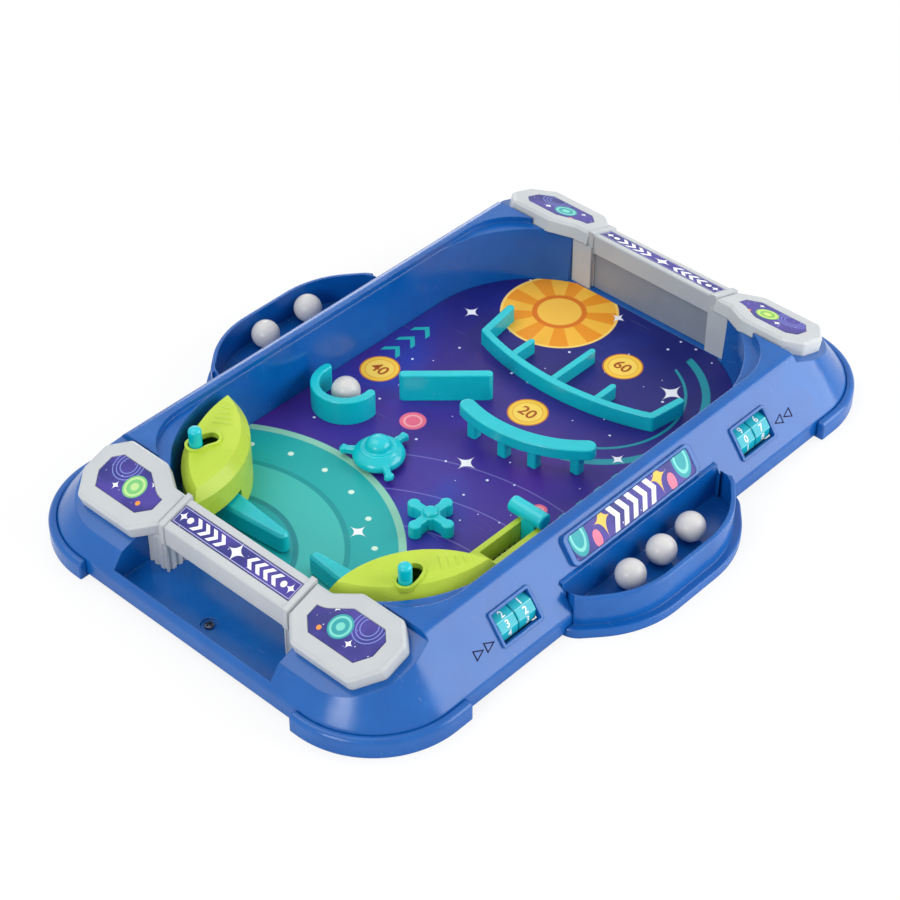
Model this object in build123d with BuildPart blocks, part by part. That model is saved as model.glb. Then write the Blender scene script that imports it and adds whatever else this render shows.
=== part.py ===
"""Tabletop pinball game: a moulded play tray with end arches, flippers, a ball launcher and scorers.

Millimetres. X runs across the game, Y along it with the player at -Y, and Z up from the table.
"""

import os
from math import asin, atan2, cos, degrees, pi, radians, sin, sqrt, tan

from build123d import *

os.makedirs("parts", exist_ok=True)

# Driving dimensions of the tray
skirt_half_width = 127.0
skirt_half_length = 196.0
skirt_corner = 48.0
skirt_lift = 2.0
rim_height = 42.0
flank_width = 31.5
flank_foot = 11.0
flank_run = 23.0
crown_round = 6.0
foot_round = 5.0
end_apron = 46.5
shell_wall = 2.5
floor_top = 4.5
floor_thickness = 2.0
play_corner = 73.0
corner_cut = 5.5
wall_draft = 3.0
ledge_drop = 3.5
ledge_corner = 36.0

# Driving dimensions of the playing board and the balls
board_thickness = 1.5
drawn_half_width = 95.5
drawn_half_length = 149.5
ball_diameter = 16.0
right_ball_gap = 14.0
right_ball_places = (-22.0, 2.0, 25.0)
left_ball_gap = 23.5
left_near_ball_y = -10.5
left_far_ball_end_gap = 45.0

# Driving dimensions of the end arches
arch_tilt = 18.4
arch_setback = 11.9
arch_height = 39.5
cap_thickness = 8.0
cap_inner = 45.0
cap_side_gap = 22.5
cap_near_reach = 17.4
cap_far_reach = 20.5
cap_corner_cut = 10.0
cap_shoulder = 23.0
cap_heel = 12.0
cap_toe = 14.0
cap_round = 4.0
cap_edge = 1.5
cap_label_margin = 9.0
bar_depth = 19.0
bar_bottom = 30.0
bar_apron_bottom = 24.5
bar_apron = 3.0
bar_round = 1.0
collar_length = 3.5
collar_step = 0.8
post_width = 13.5
post_flute = 1.1
post_end_flutes = 3
post_side_flutes = 5
panel_thickness = 2.0
panel_setback = 4.4
label_thickness = 0.6
label_margin = 3.0
bar_label_width = 11.3

# Driving dimensions of the drain trough at each end
trough_lip = 3.0
trough_lip_height = 14.0

# Driving dimensions of the corner guards
guard_proud = 4.5
guard_height = 11.0
guard_run_x = 53.0
guard_run_y = 59.0
guard_ledge = 3.5
guard_round = 2.7

# Driving dimensions of the ball trays
tray_inset = 10.5
tray_depth = 39.0
tray_half_length = 67.0
tray_front_run = 29.0
tray_shoulder = 13.5
tray_corner = 60.0
tray_flange = 4.5
tray_flange_height = 5.0
tray_wall = 2.5
tray_rim = 22.0
tray_round = 1.0
tray_floor_top = 4.5

# Driving dimensions of the scorers
scorer_tray_gap = 25.0
drum_radius = 9.0
drum_width = 12.0
drum_gap = 0.6
drum_depth = 7.6
drum_sides = 10
axle_diameter = 4.0
cheek_thickness = 2.0
window_rise = 17.0
window_length = 16.0
bezel_width = 1.6
bezel_height = 1.2

# Driving dimensions of the raised plate on the right flank
plate_half_length = 49.0
plate_width = 17.0
plate_rise = 26.5
plate_raise = 2.0
plate_corner = 3.4

# Driving dimensions of the flipper housings and the flippers
housing_tip_gap = 1.5
housing_foot_gap = 9.7
housing_end_gap = 2.5
housing_run = 69.0
housing_inner_bulge = 18.0
housing_corner_gap = 1.6
housing_shoulder = 32.5
housing_top = 39.0
housing_bevel = 4.5
housing_tip_share = 1.2
housing_wall = 2.0
notch_height = 13.5
pivot_from_tip = 39.0
pivot_from_foot = 26.0
pivot_pin_diameter = 5.0
pivot_collar_diameter = 12.0
flipper_parting = 12.0
flipper_hub = 7.0
flipper_tip = 3.2
flipper_lift = 1.0
flipper_height = 11.0
flipper_edge = 1.6
lever_radius = 18.0
lever_end = 4.5
thumb_pin_diameter = 7.0
thumb_pin_top = 50.5
thumb_pin_round = 2.45
flip_stroke = 28.0
slot_lip_height = 1.2
slot_lip_width = 1.6

# Driving dimensions of the launcher
launcher_slot_inset = 11.0
launcher_slot_width = 9.0
launcher_rail = 3.2
launcher_reach = 46.0
launcher_bay = 8.0
launcher_top = 24.0
striker_length = 8.0
striker_bar_diameter = 9.0
striker_bar_inner = 9.0
striker_bar_outer = 4.0
striker_bar_round = 1.5
spring_coil_diameter = 6.6
spring_wire = 0.9
spring_turns = 6
spring_axis_z = 14.0

# Driving dimensions of the obstacles, with their places drawn on a board of the drawn size
cup_wall_gap = 5.5
cup_mark_y = -17.0
cup_radius = 19.0
cup_wall = 5.0
cup_height = 15.0
cup_start_angle = 172.0
cup_sweep = 196.0
wall_start_mark = (-51.0, 7.0)
wall_end_mark = (-18.0, 38.0)
wall_thickness = 5.0
wall_height = 17.0
wall_screw_shares = (0.2, 0.8)
obstacle_round = 1.0
saucer_mark = (-25.0, -39.0)
saucer_radius = 14.0
saucer_foot_radius = 11.2
saucer_bevel_height = 2.5
saucer_brim_height = 5.0
saucer_dome_radius = 7.3
saucer_dome_foot = 8.7
saucer_dome_height = 9.3
saucer_height = 15.0
saucer_arms = 3
saucer_arm_reach = 18.5
saucer_arm_width = 6.0
saucer_arm_lift = 1.5
saucer_arm_height = 5.0
saucer_bore_depth = 10.5
star_mark = (29.0, -57.0)
star_arms = 4
star_reach = 11.5
star_arm_width = 5.0
star_arm_height = 7.6
star_bulb = 3.4
star_knob_radius = 4.0
star_knob_round = 1.5
star_height = 9.6
star_bore_depth = 6.6
spinner_pin_diameter = 4.0
rail_left_mark = (-51.0, 72.0)
rail_middle_mark = (8.0, 64.0)
rail_right_mark = (63.0, 77.0)
rail_left_end_mark = (-55.0, 97.0)
rail_right_end_mark = (66.0, 97.0)
rail_thickness = 4.5
rail_height = 9.5
rail_round = 0.75
rail_screw_offset = 6.0
rail_fin_marks = (-27.0, 3.0, 31.0)
rail_fin_length = (17.0, 33.0, 17.0)
rail_fin_thickness = 3.6
rail_fin_height = 8.0
bench_left_mark = (-8.0, 11.0)
bench_middle_mark = (28.0, 10.5)
bench_right_mark = (60.0, 28.0)
bench_width = 9.0
bench_thickness = 6.5
bench_height = 17.5
bench_legs = (0.08, 0.38, 0.62, 0.93)
bench_leg = 6.0
bench_leg_round = 1.5

# Driving dimensions of the screws
screw_shank = 2.6
screw_head = 5.0
screw_head_height = 1.4
screw_reach = 6.0
drain_screw_recess = 9.0
drain_screw_depth = 1.2
drain_screw_inset = 11.0

# Clearances
fit = 0.3
running_fit = 0.1
overcut = 10.0

# Levels and places that follow from the driving dimensions
board_top = floor_top + board_thickness
floor_bottom = floor_top - floor_thickness
play_half_width = skirt_half_width - flank_width
play_half_length = skirt_half_length - end_apron
play_arc_half_length = play_half_length + corner_cut
corner_centre_x = play_half_width - play_corner
corner_centre_y = play_arc_half_length - play_corner
arch_centre = play_half_length + arch_setback
cap_outer = skirt_half_width - cap_side_gap
cap_near_side = arch_centre - cap_near_reach
cap_far_side = arch_centre + cap_far_reach
tray_back = skirt_half_width - tray_inset
tray_reach = tray_back + tray_depth
scorer_y = tray_half_length + scorer_tray_gap
rim_half_width = play_half_width + wall_draft
sky = rim_height + overcut
tilt_sine = sin(radians(arch_tilt))
tilt_cosine = cos(radians(arch_tilt))
seat_drop = cap_thickness / tilt_cosine
seat_start = cap_near_side - cap_thickness * tilt_sine - fit
trough_half_width = cap_inner - collar_length + post_width + fit
trough_end = skirt_half_length - trough_lip
flank_rise = rim_height - flank_foot
flank_angle = atan2(flank_rise, flank_run)
flank_shell = shell_wall / sin(flank_angle)
opening_half_length = tray_half_length - tray_flange - tray_wall + fit
tray_back_height = flank_foot + tray_inset * flank_rise / flank_run - fit


def arch_plane_height(y):
    """Height of an arch's tilted top plane at a distance y from the middle of the game."""
    return arch_height - (y - arch_centre) * tan(radians(arch_tilt))


def seat_height(y):
    """Height of the bevel on which the arch caps lie."""
    return arch_plane_height(y) - seat_drop


def on_board(mark):
    """Place of a mark from the drawn board on the board as it is made."""
    return (
        mark[0] * play_half_width / drawn_half_width,
        mark[1] * play_half_length / drawn_half_length,
    )


def save(piece, name):
    """Label one piece and write it as its own file."""
    piece.label = name
    export_step(piece, f"parts/{name}.step")


# Places of the obstacles
cup_centre = (-(play_half_width - cup_wall_gap - cup_radius), on_board((0, cup_mark_y))[1])
wall_start = on_board(wall_start_mark)
wall_end = on_board(wall_end_mark)
saucer_centre = on_board(saucer_mark)
star_centre = on_board(star_mark)
rail_left = on_board(rail_left_mark)
rail_middle = on_board(rail_middle_mark)
rail_right = on_board(rail_right_mark)
rail_left_end = on_board(rail_left_end_mark)
rail_right_end = on_board(rail_right_end_mark)
rail_fin_x = [on_board((mark, 0))[0] for mark in rail_fin_marks]
bench_left = on_board(bench_left_mark)
bench_middle = on_board(bench_middle_mark)
bench_right = on_board(bench_right_mark)

# Places of the hidden screws that hold the obstacles down from below
rail_screws = [(fin_x, rail_middle[1] + rail_screw_offset) for fin_x in rail_fin_x[::2]]
cup_screws = [(cup_centre[0], cup_centre[1] - cup_radius + cup_wall / 2)]
wall_run = (wall_end[0] - wall_start[0], wall_end[1] - wall_start[1])
wall_screws = [
    (wall_start[0] + share * wall_run[0], wall_start[1] + share * wall_run[1])
    for share in wall_screw_shares
]
drain_screw_y = trough_end - drain_screw_inset
drain_screws = [(0, -drain_screw_y), (0, drain_screw_y)]

# Arc through the bench's three points, which carries its legs and screws
bench_arc = ThreePointArc(bench_left, bench_middle, bench_right)
bench_leg_spots = [bench_arc @ share for share in bench_legs]
bench_screws = [(spot.X, spot.Y) for spot in bench_leg_spots[1::2]]
hidden_screws = rail_screws + cup_screws + wall_screws + bench_screws

# Base tray: solid outer form, with a bevelled seat for the arch caps at each end
with BuildPart() as envelope:
    with BuildSketch(Plane.XY.offset(skirt_lift)):
        RectangleRounded(2 * skirt_half_width, 2 * skirt_half_length, skirt_corner)
    extrude(amount=flank_foot - skirt_lift)
    for level, run in ((flank_foot, 0), (rim_height, flank_run)):
        with BuildSketch(Plane.XY.offset(level)):
            RectangleRounded(
                2 * (skirt_half_width - run),
                2 * (skirt_half_length - run),
                skirt_corner - run,
            )
    loft(ruled=True)
    fillet(envelope.edges().group_by(Axis.Z)[-1], radius=crown_round)
    fillet(envelope.edges().filter_by_position(Axis.Z, flank_foot, flank_foot), radius=foot_round)
    with BuildSketch(Plane.YZ):
        with BuildLine():
            reach = skirt_half_length + overcut
            Polyline(
                (seat_start, seat_height(seat_start)),
                (reach, seat_height(reach)),
                (reach, sky),
                (seat_start, sky),
                close=True,
            )
        make_face()
        mirror(about=Plane.YZ)
    extrude(amount=skirt_half_width + overcut, both=True, mode=Mode.SUBTRACT)

# Base tray: the hollow under its flanks, which leaves the play walls and the floor standing
with BuildPart() as hollow:
    with BuildSketch(Plane.XY.offset(-overcut)):
        RectangleRounded(
            2 * (skirt_half_width - flank_shell),
            2 * (skirt_half_length - flank_shell),
            skirt_corner - flank_shell,
        )
    extrude(amount=flank_foot + overcut)
    hollow_top = rim_height - shell_wall
    hollow_run = flank_shell + (hollow_top - flank_foot) * flank_run / flank_rise
    for level, run in ((flank_foot, flank_shell), (hollow_top, hollow_run)):
        with BuildSketch(Plane.XY.offset(level)):
            RectangleRounded(
                2 * (skirt_half_width - run),
                2 * (skirt_half_length - run),
                skirt_corner - run,
            )
    loft(ruled=True)
    with BuildSketch(Plane.XY.offset(rim_height - ledge_drop - shell_wall)):
        RectangleRounded(
            2 * (rim_half_width + shell_wall),
            2 * (seat_start + ledge_drop + shell_wall),
            ledge_corner + shell_wall,
        )
    extrude(amount=sky, mode=Mode.SUBTRACT)
    with BuildSketch(Plane.YZ):
        with BuildLine():
            inner_start = seat_start - shell_wall
            Polyline(
                (inner_start, seat_height(inner_start) - 2 * shell_wall),
                (reach, seat_height(reach) - 2 * shell_wall),
                (reach, sky),
                (inner_start, sky),
                close=True,
            )
        make_face()
        mirror(about=Plane.YZ)
    extrude(amount=skirt_half_width + overcut, both=True, mode=Mode.SUBTRACT)
    # webs that close the flanks beside the openings for the ball trays
    web_middle = opening_half_length + shell_wall / 2
    with BuildSketch(Plane.XY.offset(-overcut)):
        with Locations((0, web_middle), (0, -web_middle)):
            Rectangle(2 * skirt_half_width, shell_wall)
    extrude(amount=sky, mode=Mode.SUBTRACT)
    # play walls and floor
    with BuildSketch(Plane.XY.offset(floor_bottom)):
        grown = wall_draft + shell_wall
        RectangleRounded(
            2 * (play_half_width + grown),
            2 * (play_arc_half_length + grown),
            play_corner + grown,
        )
        Rectangle(2 * (play_half_width + grown), 2 * (play_half_length + grown), mode=Mode.INTERSECT)
    extrude(amount=sky, mode=Mode.SUBTRACT)
    # troughs
    with BuildSketch(Plane.XY.offset(floor_bottom)):
        Rectangle(2 * (trough_half_width + shell_wall), 2 * skirt_half_length)
    extrude(amount=sky, mode=Mode.SUBTRACT)

# Cheeks under the right flank, which carry the scorers' axles
drum_pack = 2 * drum_width + drum_gap
cheek_offset = drum_pack / 2 + fit + cheek_thickness / 2
cheek_centres = [side * scorer_y + end * cheek_offset for side in (-1, 1) for end in (-1, 1)]
flank_plane = Plane(
    origin=(skirt_half_width, 0, flank_foot),
    x_dir=(0, 1, 0),
    z_dir=(sin(flank_angle), 0, cos(flank_angle)),
)
window_slope = 90 - degrees(flank_angle)
drum_axis = flank_plane.from_local_coords(Vector(0, window_rise, -drum_depth))
window_places = ((-scorer_y, window_rise), (scorer_y, window_rise))

with BuildPart() as base_tray:
    add(envelope.part)
    add(hollow.part, mode=Mode.SUBTRACT)
    # bezels round the scorers' windows, the windows themselves and the cheeks behind them
    with BuildSketch(flank_plane):
        with Locations(*window_places):
            RectangleRounded(
                drum_pack + 2 * (fit + bezel_width),
                window_length + 2 * bezel_width,
                bezel_width,
            )
    extrude(amount=bezel_height)
    for cheek_centre in cheek_centres:
        with BuildSketch(Plane.XZ.offset(-cheek_centre)):
            with Locations((drum_axis.X, drum_axis.Z)):
                Circle(axle_diameter)
                Rectangle(
                    drum_depth - shell_wall / 2,
                    2 * axle_diameter,
                    rotation=window_slope,
                    align=(Align.MIN, Align.CENTER),
                )
        extrude(amount=cheek_thickness / 2, both=True)
    with BuildSketch(flank_plane):
        with Locations(*window_places):
            Rectangle(drum_pack + 2 * fit, window_length)
    extrude(amount=drum_depth, both=True, mode=Mode.SUBTRACT)
    with BuildSketch(Plane.XZ):
        with Locations((drum_axis.X, drum_axis.Z)):
            Circle(axle_diameter / 2)
    extrude(amount=scorer_y + cheek_offset + cheek_thickness, both=True, mode=Mode.SUBTRACT)
    # play space: a shallow seat for the board, then walls that lean outwards up to the rim
    with BuildSketch(Plane.XY.offset(floor_top)):
        RectangleRounded(2 * play_half_width, 2 * play_arc_half_length, play_corner)
        Rectangle(2 * play_half_width, 2 * play_half_length, mode=Mode.INTERSECT)
    extrude(amount=board_thickness, mode=Mode.SUBTRACT)
    for level, lean in ((board_top, 0), (rim_height, wall_draft)):
        with BuildSketch(Plane.XY.offset(level)):
            RectangleRounded(
                2 * (play_half_width + lean),
                2 * (play_arc_half_length + lean),
                play_corner + lean,
            )
            Rectangle(2 * (play_half_width + lean), 2 * play_half_length, mode=Mode.INTERSECT)
    loft(ruled=True, mode=Mode.SUBTRACT)
    with BuildSketch(Plane.XY.offset(rim_height - ledge_drop)):
        RectangleRounded(2 * rim_half_width, 2 * (seat_start + ledge_drop), ledge_corner)
    extrude(amount=sky, mode=Mode.SUBTRACT)
    # drain troughs with a low lip at each end
    with BuildSketch(Plane.XY.offset(board_top)):
        Rectangle(2 * trough_half_width, 2 * trough_end)
        Rectangle(2 * play_half_width, 2 * (play_half_length - play_corner), mode=Mode.SUBTRACT)
    extrude(amount=sky, mode=Mode.SUBTRACT)
    with BuildSketch(Plane.XY.offset(trough_lip_height)):
        Rectangle(2 * trough_half_width, 2 * (skirt_half_length + overcut))
    extrude(amount=sky, mode=Mode.SUBTRACT)
    # recesses and holes for the drain screws, and holes for the screws under the board
    with BuildSketch(Plane.XY.offset(board_top)):
        with Locations(*drain_screws):
            Circle(drain_screw_recess / 2)
    extrude(amount=-drain_screw_depth, mode=Mode.SUBTRACT)
    with BuildSketch():
        with Locations(*drain_screws, *hidden_screws):
            Circle(screw_shank / 2)
    extrude(amount=board_top, mode=Mode.SUBTRACT)
    # openings in both flanks that take the ball trays
    for side in (-1, 1):
        with BuildSketch(Plane.XY.offset(-overcut)):
            with Locations((side * (tray_back + overcut), 0)):
                Rectangle(2 * overcut, 2 * opening_half_length)
        extrude(amount=sky, mode=Mode.SUBTRACT)
    # raised plate on the right flank, with a recess for its label
    plate_plane = flank_plane.offset(plate_raise)
    with BuildSketch(plate_plane):
        with Locations((0, plate_rise)):
            RectangleRounded(2 * plate_half_length, plate_width, plate_corner)
    extrude(amount=-(plate_raise + shell_wall))
    with BuildSketch(plate_plane):
        with Locations((0, plate_rise)):
            RectangleRounded(
                2 * (plate_half_length - label_margin),
                plate_width - label_margin,
                plate_corner - 2 * label_thickness,
            )
    extrude(amount=-label_thickness, mode=Mode.SUBTRACT)
save(base_tray.part, "base_tray")

# Playing board: printed sheet in the floor of the tray
with BuildPart() as playfield_board:
    with BuildSketch(Plane.XY.offset(floor_top)):
        RectangleRounded(
            2 * (play_half_width - fit),
            2 * (play_arc_half_length - fit),
            play_corner - fit,
        )
        Rectangle(2 * play_half_width, 2 * (play_half_length - fit), mode=Mode.INTERSECT)
        with Locations(*hidden_screws):
            Circle(screw_shank / 2, mode=Mode.SUBTRACT)
    extrude(amount=board_thickness)
save(playfield_board.part, "playfield_board")

# Corner guards: feet that wrap the corners and carry the skirt on a ledge
with BuildPart() as guard:
    with BuildSketch():
        RectangleRounded(
            2 * (skirt_half_width + guard_proud),
            2 * (skirt_half_length + guard_proud),
            skirt_corner + guard_proud,
        )
        RectangleRounded(
            2 * (skirt_half_width - guard_ledge),
            2 * (skirt_half_length - guard_ledge),
            skirt_corner - guard_ledge,
            mode=Mode.SUBTRACT,
        )
        with Locations((skirt_half_width - guard_run_x, skirt_half_length - guard_run_y)):
            Rectangle(
                skirt_half_width,
                skirt_half_length,
                align=(Align.MIN, Align.MIN),
                mode=Mode.INTERSECT,
            )
    extrude(amount=guard_height)
    with BuildSketch(Plane.XY.offset(skirt_lift)):
        RectangleRounded(2 * skirt_half_width, 2 * skirt_half_length, skirt_corner)
    extrude(amount=guard_height, mode=Mode.SUBTRACT)
    outer_rim = guard.edges().group_by(Axis.Z)[-1].group_by(SortBy.LENGTH)[-1]
    fillet(outer_rim, radius=guard_round)
guard_far_right = guard.part
guard_far_left = mirror(guard_far_right, about=Plane.YZ)
guard_near_right = mirror(guard_far_right, about=Plane.XZ)
guard_near_left = mirror(guard_far_left, about=Plane.XZ)
save(guard_far_right, "guard_far_right")
save(guard_far_left, "guard_far_left")
save(guard_near_right, "guard_near_right")
save(guard_near_left, "guard_near_left")

# End arches: a tilted bar over each goal on two fluted posts, with a collar at each end
bar_inner = arch_centre - bar_depth / 2
bar_outer = arch_centre + bar_depth / 2
bar_half_length = cap_inner


def bar_corners(step):
    """Corners of a bar's section in the YZ plane, grown by a step above and in front."""
    return [
        (bar_inner - step, bar_bottom),
        (bar_inner - step, arch_plane_height(bar_inner - step) + step),
        (bar_outer + step, arch_plane_height(bar_outer + step) + step),
        (bar_outer + step, bar_apron_bottom),
        (bar_outer - bar_apron, bar_apron_bottom),
        (bar_outer - bar_apron, bar_bottom),
    ]


arch_plane = Plane(
    origin=(0, arch_centre, arch_height),
    x_dir=(1, 0, 0),
    z_dir=(0, tilt_sine, tilt_cosine),
)
with BuildPart() as goal_bar:
    with BuildSketch(Plane.YZ):
        Polygon(*bar_corners(0), align=None)
    extrude(amount=bar_half_length, both=True)
    fillet(goal_bar.edges().filter_by(Axis.X).sort_by(Axis.Z)[-2:], radius=bar_round)
    for side in (-1, 1):
        with BuildSketch(Plane.YZ.offset(side * (bar_half_length - collar_length / 2))):
            Polygon(*bar_corners(collar_step), align=None)
        extrude(amount=collar_length / 2, both=True)
    post_centre = bar_half_length - collar_length + post_width / 2
    post_front = play_half_length + fit
    post_depth = bar_outer - post_front
    post_middle = post_front + post_depth / 2
    for side in (-1, 1):
        with BuildSketch(Plane.YZ.offset(side * post_centre)):
            Polygon(
                (post_front, board_top),
                (bar_outer, board_top),
                (bar_outer, seat_height(bar_outer) - fit),
                (post_front, seat_height(post_front) - fit),
                align=None,
            )
        extrude(amount=post_width / 2, both=True)
    with BuildSketch(Plane.XY.offset(board_top)):
        for side in (-1, 1):
            with Locations((side * (post_centre - post_width / 2), post_middle)):
                with GridLocations(post_width, post_depth / post_side_flutes, 1, post_side_flutes):
                    Circle(post_flute)
            with Locations((side * post_centre, bar_outer)):
                with GridLocations(post_width / post_end_flutes, post_depth, post_end_flutes, 1):
                    Circle(post_flute)
    extrude(amount=bar_apron_bottom - board_top, mode=Mode.SUBTRACT)
    with BuildSketch(arch_plane):
        Rectangle(2 * (bar_half_length - collar_length - fit), bar_label_width)
    extrude(amount=-label_thickness, mode=Mode.SUBTRACT)
save(goal_bar.part, "far_goal_bar")
near_goal_bar = mirror(goal_bar.part, about=Plane.XZ)
save(near_goal_bar, "near_goal_bar")

with BuildPart() as bar_label:
    with BuildSketch(arch_plane):
        Rectangle(2 * (bar_half_length - collar_length - 2 * fit), bar_label_width - 2 * fit)
    extrude(amount=-label_thickness)
save(bar_label.part, "far_bar_label")
near_bar_label = mirror(bar_label.part, about=Plane.XZ)
save(near_bar_label, "near_bar_label")

# Back panel that closes the far goal between its posts
with BuildPart() as far_back_panel:
    with BuildSketch(Plane.XY.offset(board_top)):
        with Locations((0, post_front + panel_setback)):
            Rectangle(2 * (post_centre - post_width / 2 - fit), panel_thickness)
    extrude(amount=bar_bottom - board_top)
save(far_back_panel.part, "far_back_panel")


# Arch caps: eight-sided plates that lie on the bevelled seats and close each arch's ends
cap_near_v = (cap_near_side - arch_centre) / tilt_cosine
cap_far_v = (cap_far_side - arch_centre) / tilt_cosine
cap_waist = bar_depth / 2 / tilt_cosine
cap_corners = [
    (cap_inner, -cap_waist),
    (cap_inner + cap_corner_cut, -cap_waist),
    (cap_inner + cap_shoulder, cap_near_v),
    (cap_outer - cap_corner_cut, cap_near_v),
    (cap_outer, cap_near_v + cap_corner_cut),
    (cap_outer, cap_far_v - cap_toe),
    (cap_outer - cap_corner_cut, cap_far_v),
    (cap_inner + cap_heel, cap_far_v),
    (cap_inner, cap_waist),
]


def cap_face(inset):
    """Plan of the far right cap with rounded corners, drawn in by an inset."""
    with BuildSketch() as plan:
        Polygon(*cap_corners, align=None)
        fillet(plan.vertices().group_by(Axis.X)[1:], radius=cap_round)
        if inset:
            offset(amount=-inset, kind=Kind.INTERSECTION, mode=Mode.REPLACE)
    return plan.sketch


with BuildPart() as cap:
    with BuildSketch(arch_plane):
        add(cap_face(0))
    extrude(amount=-cap_thickness)
    chamfer(cap.faces().filter_by(arch_plane).sort_by(Axis.Z)[-1].edges(), length=cap_edge)
    with BuildSketch(arch_plane):
        add(cap_face(cap_label_margin))
    extrude(amount=-label_thickness, mode=Mode.SUBTRACT)
with BuildPart() as cap_label:
    with BuildSketch(arch_plane):
        add(cap_face(cap_label_margin + fit))
    extrude(amount=-label_thickness)
for stem, piece in (("cap", cap.part), ("cap_label", cap_label.part)):
    far_left = mirror(piece, about=Plane.YZ)
    near_right = mirror(piece, about=Plane.XZ)
    near_left = mirror(far_left, about=Plane.XZ)
    save(piece, f"far_right_{stem}")
    save(far_left, f"far_left_{stem}")
    save(near_right, f"near_right_{stem}")
    save(near_left, f"near_left_{stem}")

with BuildPart() as side_label:
    with BuildSketch(plate_plane):
        with Locations((0, plate_rise)):
            RectangleRounded(
                2 * (plate_half_length - label_margin - fit),
                plate_width - label_margin - 2 * fit,
                plate_corner - 2 * label_thickness - fit,
            )
    extrude(amount=-label_thickness)
save(side_label.part, "side_label")


# Ball trays: D-shaped troughs that plug into the flanks, with a flange round the foot
def tray_face(inset):
    """Plan of the right tray's flange, drawn in by an inset."""
    corner_x = tray_reach - inset
    shoulder_x = tray_back + tray_shoulder - inset / 3
    front_half = tray_half_length - tray_front_run - inset / 2
    with BuildSketch() as plan:
        with BuildLine():
            FilletPolyline(
                (tray_back, tray_half_length - inset),
                (shoulder_x, tray_half_length - inset),
                (corner_x, front_half),
                (corner_x, -front_half),
                (shoulder_x, -tray_half_length + inset),
                (tray_back, -tray_half_length + inset),
                radius=(tray_shoulder, tray_corner - inset, tray_corner - inset, tray_shoulder),
            )
            Line((tray_back, -tray_half_length + inset), (tray_back, tray_half_length - inset))
        make_face()
    return plan.sketch


with BuildPart() as right_tray:
    with BuildSketch():
        add(tray_face(0))
    extrude(amount=tray_flange_height)
    fillet(right_tray.edges().group_by(Axis.Z)[-1].sort_by(Axis.X)[1:], radius=tray_round)
    with BuildSketch(Plane.XY.offset(tray_flange_height)):
        add(tray_face(tray_flange))
    extrude(amount=tray_rim - tray_flange_height)
    fillet(right_tray.edges().group_by(Axis.Z)[-1].sort_by(Axis.X)[1:], radius=tray_round)
    with BuildSketch():
        with Locations((tray_back, 0)):
            Rectangle(
                tray_wall,
                2 * (tray_half_length - tray_flange - tray_wall),
                align=(Align.MIN, Align.CENTER),
            )
    extrude(amount=tray_back_height)
    with BuildSketch(Plane.XY.offset(tray_floor_top)):
        add(tray_face(tray_flange + tray_wall))
        with Locations((tray_back, 0)):
            Rectangle(
                2 * tray_wall,
                2 * tray_half_length,
                mode=Mode.SUBTRACT,
            )
    extrude(amount=sky, mode=Mode.SUBTRACT)
    # the flank's skirt passes on both sides of the opening
    for side in (-1, 1):
        with BuildSketch(Plane.XY.offset(skirt_lift - fit)):
            with Locations((tray_back, side * (tray_half_length - tray_flange - tray_wall))):
                Rectangle(
                    skirt_half_width + fit - tray_back,
                    tray_half_length,
                    align=(Align.MIN, Align.MIN if side > 0 else Align.MAX),
                )
        extrude(amount=sky, mode=Mode.SUBTRACT)
right_ball_tray = right_tray.part
left_ball_tray = mirror(right_ball_tray, about=Plane.YZ)
save(right_ball_tray, "right_ball_tray")
save(left_ball_tray, "left_ball_tray")

# Balls: three in the right tray, two in the left one and one in the cup
ball_radius = ball_diameter / 2
tray_ball_level = tray_floor_top + ball_radius + running_fit
ball_spots = {"ball_in_cup": (*cup_centre, board_top + ball_radius + running_fit)}
for ball_place, ball_y in zip(("near", "middle", "far"), right_ball_places):
    ball_spots[f"ball_right_{ball_place}"] = (tray_back + right_ball_gap, ball_y, tray_ball_level)
left_ball_places = (left_near_ball_y, tray_half_length - left_far_ball_end_gap)
for ball_place, ball_y in zip(("near", "far"), left_ball_places):
    ball_spots[f"ball_left_{ball_place}"] = (-tray_back - left_ball_gap, ball_y, tray_ball_level)
for ball_name, ball_spot in ball_spots.items():
    with BuildPart() as ball:
        with BuildSketch(Plane.XZ) as ball_half:
            Circle(ball_radius)
            Rectangle(ball_diameter, ball_diameter, align=(Align.MAX, Align.CENTER), mode=Mode.SUBTRACT)
        revolve(axis=Axis.Z)
    save(ball.part.moved(Location(ball_spot)), ball_name)

# Scorers: two ten-sided number drums side by side on each axle
drum_offset = (drum_width + drum_gap) / 2
drum_places = {
    "near_tens_drum": -scorer_y - drum_offset,
    "near_units_drum": -scorer_y + drum_offset,
    "far_tens_drum": scorer_y - drum_offset,
    "far_units_drum": scorer_y + drum_offset,
}
for drum_name, drum_y in drum_places.items():
    with BuildPart() as drum:
        with BuildSketch(Plane.XZ.offset(-drum_y)):
            with Locations((drum_axis.X, drum_axis.Z)):
                RegularPolygon(drum_radius, drum_sides, rotation=window_slope + 180 / drum_sides)
                Circle(axle_diameter / 2 + running_fit, mode=Mode.SUBTRACT)
        extrude(amount=drum_width / 2, both=True)
    save(drum.part, drum_name)
for axle_name, axle_y in (("near_drum_axle", -scorer_y), ("far_drum_axle", scorer_y)):
    with BuildPart() as axle:
        with BuildSketch(Plane.XZ.offset(-axle_y)):
            with Locations((drum_axis.X, drum_axis.Z)):
                Circle(axle_diameter / 2)
        extrude(amount=cheek_offset + cheek_thickness / 2, both=True)
    save(axle.part, axle_name)

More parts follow.
